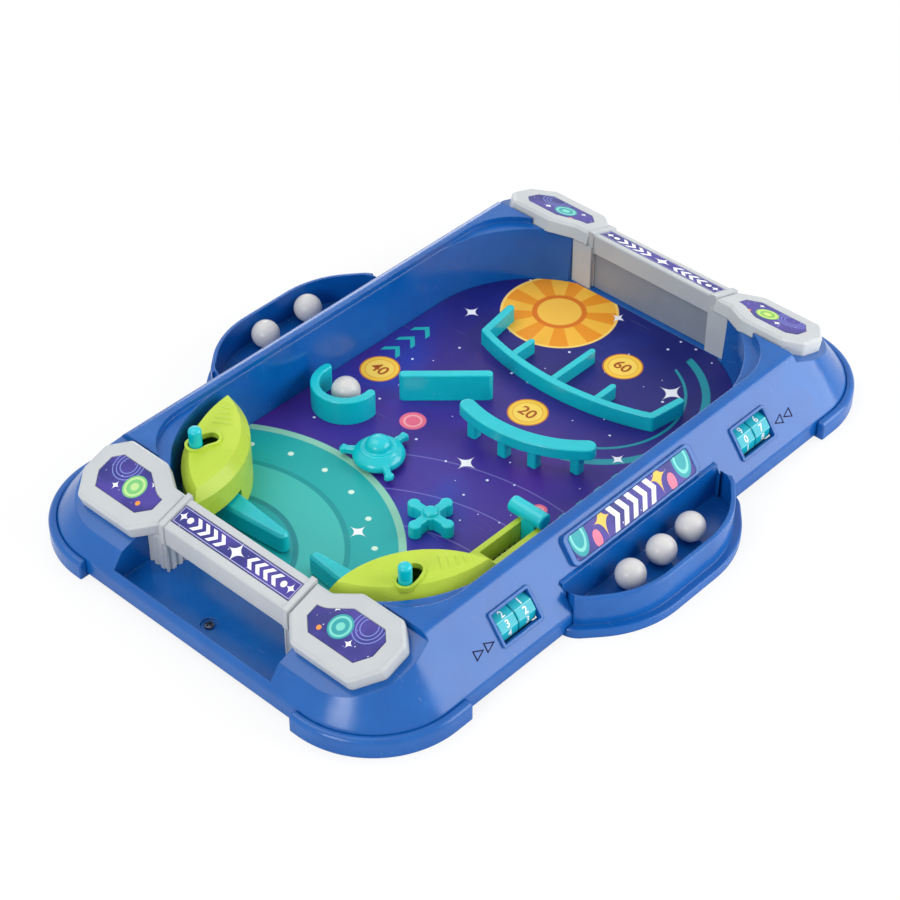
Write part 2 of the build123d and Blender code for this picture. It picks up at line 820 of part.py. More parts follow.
# Flipper housings: leaf-shaped hoods beside the goal, with a slot for the thumb pin
foot_y = play_half_length - housing_end_gap
foot_wall = corner_centre_x + sqrt(play_corner**2 - (foot_y - corner_centre_y) ** 2)
foot_x = foot_wall - housing_foot_gap
tip_x = play_half_width - housing_tip_gap
tip_y = foot_y - housing_run
leaf_length = sqrt((tip_x - foot_x) ** 2 + (tip_y - foot_y) ** 2)
leaf_across = ((foot_y - tip_y) / leaf_length, (tip_x - foot_x) / leaf_length)
leaf_middle = ((tip_x + foot_x) / 2, -(tip_y + foot_y) / 2)
roof_inside = housing_top - housing_wall

# The hood's outer side bulges until it comes close to the corner of the play wall
from_corner = (leaf_middle[0] - corner_centre_x, leaf_middle[1] + corner_centre_y)
outwards = from_corner[0] * leaf_across[0] - from_corner[1] * leaf_across[1]
bulge_room = (play_corner - housing_corner_gap) ** 2 - from_corner[0] ** 2 - from_corner[1] ** 2
housing_outer_bulge = sqrt(outwards**2 + bulge_room) - outwards


def leaf_face(inset):
    """Plan of the right housing: two arcs from its tip to its foot, drawn in by an inset."""
    shrink = 1 - 2 * housing_tip_share * inset / leaf_length
    half_x = (tip_x - foot_x) / 2 * shrink
    half_y = (foot_y - tip_y) / 2 * shrink
    far_tip = (leaf_middle[0] + half_x, leaf_middle[1] + half_y)
    near_tip = (leaf_middle[0] - half_x, leaf_middle[1] - half_y)
    inner = housing_inner_bulge - inset
    outer = housing_outer_bulge - inset
    with BuildSketch() as plan:
        with BuildLine():
            ThreePointArc(
                far_tip,
                (leaf_middle[0] - inner * leaf_across[0], leaf_middle[1] + inner * leaf_across[1]),
                near_tip,
            )
            ThreePointArc(
                near_tip,
                (leaf_middle[0] + outer * leaf_across[0], leaf_middle[1] - outer * leaf_across[1]),
                far_tip,
            )
        make_face()
    return plan.sketch


# Places of the flipper's pivot and of the launcher beside the hood's tip
pivot_x = tip_x - pivot_from_tip
pivot_y = pivot_from_foot - foot_y
flipper_reach = pivot_x - flipper_parting
launcher_slot_right = tip_x - launcher_slot_inset
slot_middle = launcher_slot_right - launcher_slot_width / 2
launcher_width = launcher_slot_width + 2 * launcher_rail
launcher_far_end = launcher_reach - tip_y
launcher_back = launcher_bay - tip_y

thumb_arc = CenterArc((pivot_x, pivot_y), lever_radius, 0, flip_stroke)
thumb_slot_width = thumb_pin_diameter + 4 * fit
with BuildPart() as hood_shell:
    with BuildSketch(Plane.XY.offset(board_top)):
        add(leaf_face(0))
    extrude(amount=housing_shoulder - board_top)
    for level, inset in ((housing_shoulder, 0), (housing_top, housing_bevel)):
        with BuildSketch(Plane.XY.offset(level)):
            add(leaf_face(inset))
    loft(ruled=True)
    with BuildSketch(Plane.XY.offset(roof_inside)):
        SlotArc(thumb_arc, thumb_slot_width + 2 * slot_lip_width)
    extrude(amount=housing_wall + slot_lip_height)

with BuildPart() as hood_inside:
    with BuildSketch(Plane.XY.offset(board_top)):
        add(leaf_face(housing_wall))
    extrude(amount=housing_shoulder - housing_wall - board_top)
    for level, inset in ((housing_shoulder - housing_wall, housing_wall), (roof_inside, housing_bevel)):
        with BuildSketch(Plane.XY.offset(level)):
            add(leaf_face(inset))
    loft(ruled=True)
    with BuildSketch(Plane.XY.offset(board_top)):
        SlotArc(thumb_arc, thumb_slot_width)
    extrude(amount=sky)
    with BuildSketch(Plane.XY.offset(board_top)):
        with Locations((pivot_x, pivot_y + flipper_hub + fit)):
            Rectangle(foot_y, foot_y, align=(Align.MAX, Align.MAX))
    extrude(amount=notch_height)

with BuildPart() as plain_housing:
    add(hood_shell.part)
    add(hood_inside.part, mode=Mode.SUBTRACT)
save(mirror(plain_housing.part, about=Plane.YZ), "left_flipper_housing")

with BuildPart() as right_housing:
    add(hood_shell.part)
    # rails of the launcher, with a back wall for its spring that runs into the hood
    with BuildSketch(Plane.XY.offset(board_top)):
        with Locations((slot_middle, launcher_far_end)):
            Rectangle(
                launcher_width,
                launcher_reach + launcher_width / 2,
                align=(Align.CENTER, Align.MAX),
            )
    extrude(amount=launcher_top - board_top)
    add(hood_inside.part, mode=Mode.SUBTRACT)
    with BuildSketch(Plane.XY.offset(board_top)):
        with Locations((slot_middle, launcher_back)):
            Rectangle(
                launcher_slot_width,
                launcher_far_end - launcher_back + overcut,
                align=(Align.CENTER, Align.MIN),
            )
    extrude(amount=sky, mode=Mode.SUBTRACT)
save(right_housing.part, "right_flipper_housing")

# Flippers: a tapered bat, a hub on the pivot pin and a lever with the thumb pin
flipper_level = board_top + flipper_lift
with BuildPart() as right_flipper:
    bat_tip = (pivot_x - flipper_reach, pivot_y)
    with BuildSketch(Plane.XY.offset(flipper_level)):
        taper = asin((flipper_hub - flipper_tip) / flipper_reach)
        with BuildLine():
            upper_root = (pivot_x - flipper_hub * sin(taper), pivot_y + flipper_hub * cos(taper))
            upper_tip = (bat_tip[0] - flipper_tip * sin(taper), bat_tip[1] + flipper_tip * cos(taper))
            lower_root = (upper_root[0], 2 * pivot_y - upper_root[1])
            lower_tip = (upper_tip[0], 2 * pivot_y - upper_tip[1])
            Line(upper_root, upper_tip)
            ThreePointArc(upper_tip, (bat_tip[0] - flipper_tip, bat_tip[1]), lower_tip)
            Line(lower_tip, lower_root)
            ThreePointArc(lower_root, (pivot_x + flipper_hub, pivot_y), upper_root)
        make_face()
    extrude(amount=flipper_height)
    chamfer(right_flipper.faces().sort_by(Axis.Z)[-1].edges(), length=flipper_edge)
    with BuildSketch(Plane.XY.offset(flipper_level)):
        with Locations((pivot_x + lever_radius / 2, pivot_y)):
            SlotCenterToCenter(lever_radius, 2 * lever_end)
    extrude(amount=flipper_height / 2)
    with BuildSketch(Plane.XY.offset(flipper_level)):
        with Locations((pivot_x + lever_radius, pivot_y)):
            Circle(thumb_pin_diameter / 2)
    extrude(amount=thumb_pin_top - flipper_level)
    fillet(right_flipper.edges().group_by(Axis.Z)[-1], radius=thumb_pin_round)
    with BuildSketch(Plane.XY.offset(flipper_level)):
        with Locations((pivot_x, pivot_y)):
            Circle(pivot_pin_diameter / 2 + running_fit)
    extrude(amount=flipper_height, mode=Mode.SUBTRACT)
save(right_flipper.part, "right_flipper")
save(mirror(right_flipper.part, about=Plane.YZ), "left_flipper")

with BuildPart() as pivot_pin:
    with BuildSketch(Plane.XY.offset(board_top)):
        with Locations((pivot_x, pivot_y)):
            Circle(pivot_pin_diameter / 2)
    extrude(amount=roof_inside - board_top)
    with BuildSketch(Plane.XY.offset(board_top)):
        with Locations((pivot_x, pivot_y)):
            Circle(pivot_collar_diameter / 2)
    extrude(amount=flipper_lift - running_fit)
save(pivot_pin.part, "right_pivot_pin")
save(mirror(pivot_pin.part, about=Plane.YZ), "left_pivot_pin")

# Launcher striker: a foot in the slot under a cross bar for the finger
striker_half_width = launcher_slot_width / 2 - fit
striker_bar_left = launcher_slot_right - launcher_slot_width - striker_bar_inner
striker_bar_right = launcher_slot_right + striker_bar_outer
striker_y = launcher_far_end - striker_length
striker_bar_level = launcher_top + fit + striker_bar_diameter / 2
with BuildPart() as launcher_striker:
    with BuildSketch(Plane.XY.offset(board_top + fit)):
        with Locations((slot_middle, striker_y)):
            Rectangle(2 * striker_half_width, striker_length, align=(Align.CENTER, Align.MIN))
    extrude(amount=striker_bar_level - board_top - fit)
    with BuildSketch(Plane.YZ.offset(striker_bar_left)):
        with Locations((striker_y + striker_length / 2, striker_bar_level)):
            Circle(striker_bar_diameter / 2)
    extrude(amount=striker_bar_right - striker_bar_left)
    bar_ends = launcher_striker.edges().filter_by(GeomType.CIRCLE).sort_by(Axis.X)
    fillet([bar_ends[0], bar_ends[-1]], radius=striker_bar_round)
save(launcher_striker.part, "launcher_striker")

# Launcher spring: one wire wound between the back wall and the striker's foot
spring_start = launcher_back + running_fit
spring_end = striker_y - running_fit
coil_radius = (spring_coil_diameter - spring_wire) / 2
coil_start = spring_start + spring_wire + coil_radius
coil_end = spring_end - spring_wire - coil_radius
quarter_turns = 4 * spring_turns
pitch_angle = atan2(coil_end - coil_start, 2 * pi * coil_radius * spring_turns)


def coil_point(quarter):
    """Point and direction of the wire after a number of quarter turns."""
    angle = quarter * pi / 2
    place = Vector(
        slot_middle + coil_radius * cos(angle),
        coil_start + (coil_end - coil_start) * quarter / quarter_turns,
        spring_axis_z + coil_radius * sin(angle),
    )
    heading = Vector(
        -sin(angle) * cos(pitch_angle),
        sin(pitch_angle),
        cos(angle) * cos(pitch_angle),
    )
    return place, heading


def arc_joint(start, start_heading, end, end_heading):
    """Point and direction where two tangent arcs meet that lead from one end to the other."""
    chord = end - start
    both = start_heading + end_heading
    swing = 2 * (1 - start_heading.dot(end_heading))
    lead = (-chord.dot(both) + sqrt(chord.dot(both) ** 2 + swing * chord.dot(chord))) / swing
    after_start = start + start_heading * lead
    before_end = end - end_heading * lead
    return (after_start + before_end) / 2, before_end - after_start


axial = Vector(0, 1, 0)
wire_stops = [coil_point(quarter) for quarter in range(quarter_turns + 1)]
first_stop = Vector(slot_middle, spring_start + spring_wire, spring_axis_z - coil_radius)
last_stop = Vector(slot_middle, spring_end - spring_wire, spring_axis_z + coil_radius)
wire_stops = [(first_stop, axial)] + wire_stops + [(last_stop, axial)]
with BuildPart() as launcher_spring:
    with BuildLine() as wire:
        Line(first_stop - axial * spring_wire, first_stop)
        for (start, heading), (end, end_heading) in zip(wire_stops, wire_stops[1:]):
            middle, middle_heading = arc_joint(start, heading, end, end_heading)
            TangentArc(start, middle, tangent=heading)
            TangentArc(middle, end, tangent=middle_heading)
        Line(last_stop, last_stop + axial * spring_wire)
    with BuildSketch(Plane(origin=wire.line @ 0, z_dir=wire.line % 0)):
        Circle(spring_wire / 2)
    sweep(path=wire.line)
save(launcher_spring.part, "launcher_spring")

spring_path = wire.wire()
sample_count = 400
wire_samples = [spring_path @ (step / sample_count) for step in range(sample_count + 1)]
half_turn_samples = int(pi * coil_radius * sample_count / spring_path.length)
least_gap = min(
    (wire_samples[later] - wire_samples[earlier]).length - spring_wire
    for later in range(sample_count + 1)
    for earlier in range(later - half_turn_samples)
)
print(f"launcher spring: least gap between turns {least_gap:.2f} mm")

# Catch cup: a half ring that stands open towards the far end
with BuildPart() as catch_cup:
    with BuildSketch(Plane.XY.offset(board_top)):
        with BuildLine(mode=Mode.PRIVATE) as cup_line:
            CenterArc(cup_centre, cup_radius - cup_wall / 2, cup_start_angle, cup_sweep)
        SlotArc(cup_line.wire(), cup_wall)
    extrude(amount=cup_height)
    fillet(catch_cup.faces().sort_by(Axis.Z)[-1].edges(), radius=obstacle_round)
    with BuildSketch(Plane.XY.offset(board_top)):
        with Locations(*cup_screws):
            Circle(screw_shank / 2)
    extrude(amount=screw_reach, mode=Mode.SUBTRACT)
save(catch_cup.part, "catch_cup")

# Deflector wall: a straight bar that stands askew on the board
with BuildPart() as deflector_wall:
    with BuildSketch(Plane.XY.offset(board_top)):
        with BuildLine(mode=Mode.PRIVATE) as wall_line:
            Line(wall_start, wall_end)
        SlotArc(wall_line.wire(), wall_thickness)
    extrude(amount=wall_height)
    fillet(deflector_wall.faces().sort_by(Axis.Z)[-1].edges(), radius=obstacle_round)
    with BuildSketch(Plane.XY.offset(board_top)):
        with Locations(*wall_screws):
            Circle(screw_shank / 2)
    extrude(amount=screw_reach, mode=Mode.SUBTRACT)
save(deflector_wall.part, "deflector_wall")

# Saucer spinner: a domed disc with three bumper arms that turns on a pin
spinner_level = board_top + fit
pin_bore = spinner_pin_diameter / 2 + running_fit
with BuildPart() as saucer_spinner:
    with BuildSketch(Plane.XZ):
        with BuildLine():
            dome_level = spinner_level + saucer_dome_height
            saucer_top = spinner_level + saucer_height
            Polyline(
                (0, saucer_top),
                (0, spinner_level),
                (saucer_foot_radius, spinner_level),
                (saucer_radius, spinner_level + saucer_bevel_height),
                (saucer_radius, spinner_level + saucer_brim_height),
                (saucer_dome_foot, dome_level),
                (saucer_dome_radius, dome_level),
            )
            TangentArc((0, saucer_top), (saucer_dome_radius, dome_level), tangent=(1, 0))
        make_face()
    revolve(axis=Axis.Z)
    with BuildSketch(Plane.XY.offset(spinner_level + saucer_arm_lift)):
        with PolarLocations(saucer_arm_reach / 2, saucer_arms, start_angle=90):
            SlotCenterToCenter(saucer_arm_reach, saucer_arm_width)
    extrude(amount=saucer_arm_height)
    with BuildSketch(Plane.XY.offset(spinner_level)):
        Circle(pin_bore)
    extrude(amount=saucer_bore_depth, mode=Mode.SUBTRACT)
save(saucer_spinner.part.moved(Location((*saucer_centre, 0))), "saucer_spinner")

# Star spinner: a four-armed knob with round ends that turns on a pin
with BuildPart() as star_spinner:
    with BuildSketch(Plane.XY.offset(spinner_level)):
        with PolarLocations(star_reach / 2, star_arms):
            SlotCenterToCenter(star_reach, star_arm_width)
        with PolarLocations(star_reach, star_arms):
            Circle(star_bulb)
        Circle(star_arm_width)
    extrude(amount=star_arm_height)
    fillet(star_spinner.faces().sort_by(Axis.Z)[-1].edges(), radius=obstacle_round)
    with BuildSketch(Plane.XY.offset(spinner_level)):
        Circle(star_knob_radius)
    extrude(amount=star_height)
    fillet(star_spinner.edges().group_by(Axis.Z)[-1], radius=star_knob_round)
    with BuildSketch(Plane.XY.offset(spinner_level)):
        Circle(pin_bore)
    extrude(amount=star_bore_depth, mode=Mode.SUBTRACT)
save(star_spinner.part.moved(Location((*star_centre, 0))), "star_spinner")

spinner_pins = (
    ("saucer_pin", saucer_centre, saucer_bore_depth),
    ("star_pin", star_centre, star_bore_depth),
)
for pin_name, pin_centre, bore_depth in spinner_pins:
    with BuildPart() as spinner_pin:
        with BuildSketch(Plane.XY.offset(board_top)):
            with Locations(pin_centre):
                Circle(spinner_pin_diameter / 2)
        extrude(amount=fit + bore_depth - running_fit)
    save(spinner_pin.part, pin_name)

# Pocket rail: a bowed fence with turned-back ends and three fins that part its pockets
with BuildPart() as pocket_rail:
    with BuildSketch(Plane.XY.offset(board_top)):
        with BuildLine(mode=Mode.PRIVATE) as bow_line:
            ThreePointArc(rail_left, rail_middle, rail_right)
        SlotArc(bow_line.wire(), rail_thickness)
        for corner, end in ((rail_left, rail_left_end), (rail_right, rail_right_end)):
            with BuildLine(mode=Mode.PRIVATE) as turned_end:
                Line(corner, end)
            SlotArc(turned_end.wire(), rail_thickness)
    extrude(amount=rail_height)
    fillet(pocket_rail.faces().sort_by(Axis.Z)[-1].edges(), radius=rail_round)
    fin_root = rail_middle[1] + rail_thickness / 2
    with BuildSketch(Plane.XY.offset(board_top)):
        for fin_x, fin_length in zip(rail_fin_x, rail_fin_length):
            with BuildLine(mode=Mode.PRIVATE) as fin_line:
                Line((fin_x, fin_root), (fin_x, fin_root + fin_length))
            SlotArc(fin_line.wire(), rail_fin_thickness)
    extrude(amount=rail_fin_height)
    with BuildSketch(Plane.XY.offset(board_top)):
        with Locations(*rail_screws):
            Circle(screw_shank / 2)
    extrude(amount=screw_reach, mode=Mode.SUBTRACT)
save(pocket_rail.part, "pocket_rail")

# Bench gate: a bowed top on four legs with ball gaps between them
with BuildPart() as bench_gate:
    bench_top = board_top + bench_height
    with BuildSketch(Plane.XY.offset(bench_top - bench_thickness)):
        SlotArc(bench_arc, bench_width)
    extrude(amount=bench_thickness)
    fillet(bench_gate.faces().sort_by(Axis.Z)[-1].edges(), radius=obstacle_round)
    with BuildSketch(Plane.XY.offset(board_top)):
        with Locations(*bench_leg_spots):
            RectangleRounded(bench_leg, bench_leg, bench_leg_round)
    extrude(amount=bench_height - bench_thickness / 2)
    with BuildSketch(Plane.XY.offset(board_top)):
        with Locations(*bench_screws):
            Circle(screw_shank / 2)
    extrude(amount=screw_reach, mode=Mode.SUBTRACT)
save(bench_gate.part, "bench_gate")

# Screws: two in the drain troughs, and the hidden ones that come up through the floor
drain_screw_seat = board_top - drain_screw_depth
with BuildPart() as trough_screws:
    with BuildSketch(Plane.XY.offset(floor_bottom)):
        with Locations(*drain_screws):
            Circle(screw_shank / 2)
    extrude(amount=drain_screw_seat - floor_bottom)
    with BuildSketch(Plane.XY.offset(drain_screw_seat)):
        with Locations(*drain_screws):
            Circle(screw_head / 2)
    extrude(amount=screw_head_height)
save(trough_screws.part, "drain_screws")

with BuildPart() as floor_screws:
    with BuildSketch(Plane.XY.offset(floor_bottom)):
        with Locations(*hidden_screws):
            Circle(screw_shank / 2)
    extrude(amount=board_top + screw_reach - floor_bottom)
    with BuildSketch(Plane.XY.offset(floor_bottom)):
        with Locations(*hidden_screws):
            Circle(screw_head / 2)
    extrude(amount=-screw_head_height)
save(floor_screws.part, "floor_screws")
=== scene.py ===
from math import cos, pi, radians, sin, sqrt

import bmesh
import bpy
import numpy as np
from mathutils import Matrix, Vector


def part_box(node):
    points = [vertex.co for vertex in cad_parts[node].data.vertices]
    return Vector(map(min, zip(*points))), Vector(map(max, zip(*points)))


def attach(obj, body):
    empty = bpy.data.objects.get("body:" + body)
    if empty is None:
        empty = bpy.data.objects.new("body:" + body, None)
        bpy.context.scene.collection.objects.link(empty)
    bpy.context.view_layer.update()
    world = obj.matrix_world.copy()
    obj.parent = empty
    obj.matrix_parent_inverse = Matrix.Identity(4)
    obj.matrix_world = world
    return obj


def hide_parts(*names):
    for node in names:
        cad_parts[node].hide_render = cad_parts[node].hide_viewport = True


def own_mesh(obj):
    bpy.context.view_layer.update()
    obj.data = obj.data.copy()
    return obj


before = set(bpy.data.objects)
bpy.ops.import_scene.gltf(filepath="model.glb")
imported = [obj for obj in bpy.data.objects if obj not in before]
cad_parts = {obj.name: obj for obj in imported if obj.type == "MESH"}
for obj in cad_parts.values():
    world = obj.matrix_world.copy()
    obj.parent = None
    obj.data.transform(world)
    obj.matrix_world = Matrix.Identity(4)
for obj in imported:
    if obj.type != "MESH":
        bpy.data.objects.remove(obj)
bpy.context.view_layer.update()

# Studio: a pale seamless floor, a broad soft lamp low behind the right side, smaller ones low behind the
# left, overhead and in front, and a white room round them. The lens is long, as for a product picture.
scene = bpy.context.scene
scene.view_settings.view_transform = "Standard"
picture_width, focal_length, sensor_width = 900, 2337.83, 36.0
view_azimuth, view_elevation = radians(42.91), radians(40.37)
view_distance, view_target = 1.20555, Vector((0.00737, -0.01846, 0.020))
view_level = cos(view_elevation)
view_back = Vector((sin(view_azimuth) * view_level, -cos(view_azimuth) * view_level, sin(view_elevation)))
camera = bpy.data.objects.new("camera", bpy.data.cameras.new("camera"))
camera.data.sensor_width = sensor_width
camera.data.lens = focal_length / picture_width * sensor_width
camera.data.shift_x, camera.data.shift_y = -0.0015, -0.0022
camera.location = view_target + view_distance * view_back
camera.rotation_euler = (-view_back).to_track_quat("-Z", "Y").to_euler()
scene.collection.objects.link(camera)
scene.camera = camera

for name, place, width, watts in (
    ("side_lamp", (0.95, 0.68, 0.42), 1.0, 13.0),
    ("top_lamp", (-0.45, -0.15, 1.05), 0.8, 4.0),
    ("front_lamp", (0.18, -1.14, 0.56), 0.42, 5.0),
    ("rim_lamp", (-0.95, 0.68, 0.34), 0.5, 3.0),
):
    lamp = bpy.data.objects.new(name, bpy.data.lights.new(name, "AREA"))
    lamp.data.size = width
    lamp.data.energy = watts
    lamp.location = place
    lamp.rotation_euler = (-Vector(place)).to_track_quat("-Z", "Y").to_euler()
    scene.collection.objects.link(lamp)


def shade(tree, kind, inputs, **settings):
    """One shader node: its settings, then its inputs, each a value or another node's output."""
    made = tree.nodes.new(kind)
    for key, value in settings.items():
        setattr(made, key, value)
    for key, value in inputs.items():
        if isinstance(value, bpy.types.NodeSocket):
            tree.links.new(value, made.inputs[key])
        else:
            made.inputs[key].default_value = value
    return made


def sums(tree, operation, first, second=0.0, third=0.0):
    """The result of one sum on values or sockets."""
    return shade(tree, "ShaderNodeMath", {0: first, 1: second, 2: third}, operation=operation).outputs[0]


white, room_light, floor_glow = (1, 1, 1, 1), 0.55, 0.82
room = bpy.data.worlds.new("room")
scene.world = room
room.use_nodes = True
tree = room.node_tree
tree.nodes.clear()
path = shade(tree, "ShaderNodeLightPath", {}).outputs
mirrored = sums(tree, "MAXIMUM", path["Is Glossy Ray"], path["Is Transmission Ray"])
seen = sums(tree, "MAXIMUM", path["Is Camera Ray"], mirrored)
lit = shade(tree, "ShaderNodeBackground", {"Color": white, "Strength": room_light})
shown = shade(tree, "ShaderNodeBackground", {"Color": white, "Strength": 1.0})
both = shade(tree, "ShaderNodeMixShader", {0: seen, 1: lit.outputs[0], 2: shown.outputs[0]})
shade(tree, "ShaderNodeOutputWorld", {"Surface": both.outputs[0]})

floor_mesh = bpy.data.meshes.new("floor")
floor_mesh.from_pydata([(-4, -4, 0), (4, -4, 0), (4, 4, 0), (-4, 4, 0)], [], [(0, 1, 2, 3)])
studio_floor = bpy.data.objects.new("studio_floor", floor_mesh)
scene.collection.objects.link(studio_floor)
paper = bpy.data.materials.new("floor_paper")
paper.use_nodes = True
tree = paper.node_tree
tree.nodes.clear()
matt = shade(tree, "ShaderNodeBsdfDiffuse", {"Color": (0.94, 0.94, 0.94, 1)})
glow = shade(tree, "ShaderNodeEmission", {"Color": white, "Strength": 1.0})
seen = sums(tree, "MULTIPLY", shade(tree, "ShaderNodeLightPath", {}).outputs["Is Camera Ray"], floor_glow)
both = shade(tree, "ShaderNodeMixShader", {0: seen, 1: matt.outputs[0], 2: glow.outputs[0]})
shade(tree, "ShaderNodeOutputMaterial", {"Surface": both.outputs[0]})
floor_mesh.materials.append(paper)

# Base tray: one large injection moulding in glossy blue ABS, which carries every other piece. Broad
# sloping flanks run down from the rim to the skirt, and straight play walls, end troughs and scorer
# windows are moulded in.


def ink(red, green, blue):
    """A colour given in screen values from 0 to 255 as linear light."""
    values = np.array([red, green, blue]) / 255
    linear = np.where(values <= 0.04045, values / 12.92, ((values + 0.055) / 1.055) ** 2.4)
    return (*linear.tolist(), 1.0)


def ramp(tree, value, start, end, low=0.0, high=1.0):
    """A value eased from low to high while it runs from start to end."""
    inputs = {"Value": value, "From Min": start, "From Max": end, "To Min": low, "To Max": high}
    return shade(tree, "ShaderNodeMapRange", inputs, interpolation_type="SMOOTHSTEP").outputs["Result"]


def layer(tree, under, over, mask):
    """One colour laid over another where the mask is white."""
    return shade(tree, "ShaderNodeMix", {0: mask, 6: under, 7: over}, data_type="RGBA").outputs[2]


def together(tree, masks):
    """The masks of like marks as one."""
    joined = masks[0]
    for mask in masks[1:]:
        joined = sums(tree, "MAXIMUM", joined, mask)
    return joined


def object_spot(tree):
    """Where a point lies on the piece itself."""
    return shade(tree, "ShaderNodeTexCoord", {}).outputs["Object"]


def noise(tree, at, scale, detail, **more):
    """Soft noise of one scale."""
    inputs = {"Vector": at, "Scale": scale, "Detail": detail, **more}
    return shade(tree, "ShaderNodeTexNoise", inputs).outputs["Fac"]


def effect(name, inputs, outputs):
    """An empty shader group with float inputs and outputs of these names, and the sockets at its ends."""
    group = bpy.data.node_groups.new(name, "ShaderNodeTree")
    for socket in inputs:
        group.interface.new_socket(name=socket, in_out="INPUT", socket_type="NodeSocketFloat")
    for socket in outputs:
        group.interface.new_socket(name=socket, in_out="OUTPUT", socket_type="NodeSocketFloat")
    return group, group.nodes.new("NodeGroupInput").outputs, group.nodes.new("NodeGroupOutput").inputs


moulded_grain, given, out = effect(
    "moulded_grain", ["Texture Size", "Flow Size"], ["Tone", "Gloss", "Height"]
)
tree = moulded_grain
at = object_spot(tree)
cells = sums(tree, "DIVIDE", 1.0, given["Texture Size"])
flows = sums(tree, "DIVIDE", 1.0, given["Flow Size"])
pores = shade(tree, "ShaderNodeTexVoronoi", {"Vector": at, "Scale": cells}).outputs["Distance"]
fine = noise(tree, at, cells, 3.0, Roughness=0.6)
flow = noise(tree, at, flows, 4.0, Distortion=0.8)
blotch = noise(tree, at, 55.0, 2.0)
tone = sums(tree, "MULTIPLY_ADD", flow, 0.6, sums(tree, "MULTIPLY", blotch, 0.4))
tree.links.new(ramp(tree, tone, 0.32, 0.68), out["Tone"])
tree.links.new(ramp(tree, blotch, 0.3, 0.7), out["Gloss"])
tree.links.new(sums(tree, "MULTIPLY_ADD", pores, 0.35, fine), out["Height"])

hand_scuffs, given, out = effect("hand_scuffs", ["Amount"], ["Mask"])
tree = hand_scuffs
at = object_spot(tree)
hair_scale = (28.0, 1100.0, 260.0)
strokes = []
for turn, seed in ((0.4, 3.0), (-0.7, 11.0), (1.3, 23.0)):
    lie = {"Location": (seed, seed, seed), "Rotation": (0.2 * turn, 0.3, turn), "Scale": hair_scale}
    laid = shade(tree, "ShaderNodeMapping", {"Vector": at, **lie}).outputs[0]
    strokes.append(ramp(tree, noise(tree, laid, 1.0, 1.0), 0.735, 0.79))
patches = ramp(tree, noise(tree, at, 42.0, 2.0), 0.42, 0.66)
worn = sums(tree, "MULTIPLY", together(tree, strokes), patches)
tree.links.new(sums(tree, "MULTIPLY", worn, given["Amount"]), out["Mask"])

settled_dust, given, out = effect("settled_dust", ["Amount"], ["Mask"])
tree = settled_dust
at = object_spot(tree)
facing = shade(tree, "ShaderNodeNewGeometry", {}).outputs["Normal"]
upward = shade(tree, "ShaderNodeSeparateXYZ", {0: facing}).outputs["Z"]
specks = shade(tree, "ShaderNodeTexVoronoi", {"Vector": at, "Scale": 210.0}).outputs["Distance"]
drift = noise(tree, at, 24.0, 5.0)
speck = sums(tree, "MULTIPLY", ramp(tree, specks, 0.13, 0.06), ramp(tree, drift, 0.5, 0.62))
film = sums(tree, "MULTIPLY_ADD", ramp(tree, drift, 0.35, 0.75), 0.35, sums(tree, "MULTIPLY", speck, 0.65))
lying = sums(tree, "MULTIPLY", film, ramp(tree, upward, 0.45, 0.98))
tree.links.new(sums(tree, "MULTIPLY", lying, given["Amount"]), out["Mask"])


def placed(tree, group, inputs):
    """A shared effect placed in a material with its own values."""
    return shade(tree, "ShaderNodeGroup", inputs, node_tree=group).outputs


def new_material(name):
    """A material with nodes: itself, its tree and the inputs of its surface."""
    material = bpy.data.materials.new(name)
    material.use_nodes = True
    return material, material.node_tree, material.node_tree.nodes["Principled BSDF"].inputs


def moulded_plastic(name, face, shadow, rough, texture, bump, scuffs=0.5, dust=0.3, edge=0.0005, shine=0.3):
    """Moulded plastic: two close tones mixed by the melt's flow, a fine mould texture as bump on edges
    that are eased by a hair, gloss that drifts a little, pale hair scuffs and a trace of dust on what
    faces up."""
    plastic, tree, surface = new_material(name)
    grain = placed(tree, moulded_grain, {"Texture Size": texture, "Flow Size": 0.045})
    hairs = placed(tree, hand_scuffs, {"Amount": scuffs})["Mask"]
    film = placed(tree, settled_dust, {"Amount": dust})["Mask"]
    pale = (*(0.55 * channel + 0.45 for channel in face[:3]), 1.0)
    flowed = layer(tree, shadow, face, grain["Tone"])
    scuffed = layer(tree, flowed, pale, sums(tree, "MULTIPLY", hairs, 0.22))
    dusted = layer(tree, scuffed, (0.62, 0.62, 0.64, 1), sums(tree, "MULTIPLY", film, 0.10))
    gloss = ramp(tree, grain["Gloss"], 0.0, 1.0, rough, rough + 0.07)
    dulling = sums(tree, "MULTIPLY_ADD", hairs, 0.18, sums(tree, "MULTIPLY", film, 0.22))
    relief = sums(tree, "SUBTRACT", grain["Height"], sums(tree, "MULTIPLY", hairs, 0.5))
    eased = shade(tree, "ShaderNodeBevel", {"Radius": edge}, samples=4).outputs[0]
    texture_bump = {"Strength": bump, "Distance": 0.00008, "Height": relief, "Normal": eased}
    tree.links.new(dusted, surface["Base Color"])
    tree.links.new(sums(tree, "ADD", gloss, dulling), surface["Roughness"])
    tree.links.new(shade(tree, "ShaderNodeBump", texture_bump).outputs[0], surface["Normal"])
    surface["Specular IOR Level"].default_value = shine
    return plastic


def loose_triangles(node):
    """A node's own mesh as two arrays: its corners and its triangles."""
    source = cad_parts[node].data
    corners = np.empty(3 * len(source.vertices))
    source.vertices.foreach_get("co", corners)
    loops = np.empty(len(source.loops), dtype=np.int64)
    source.loops.foreach_get("vertex_index", loops)
    return corners.reshape(-1, 3), loops.reshape(-1, 3)


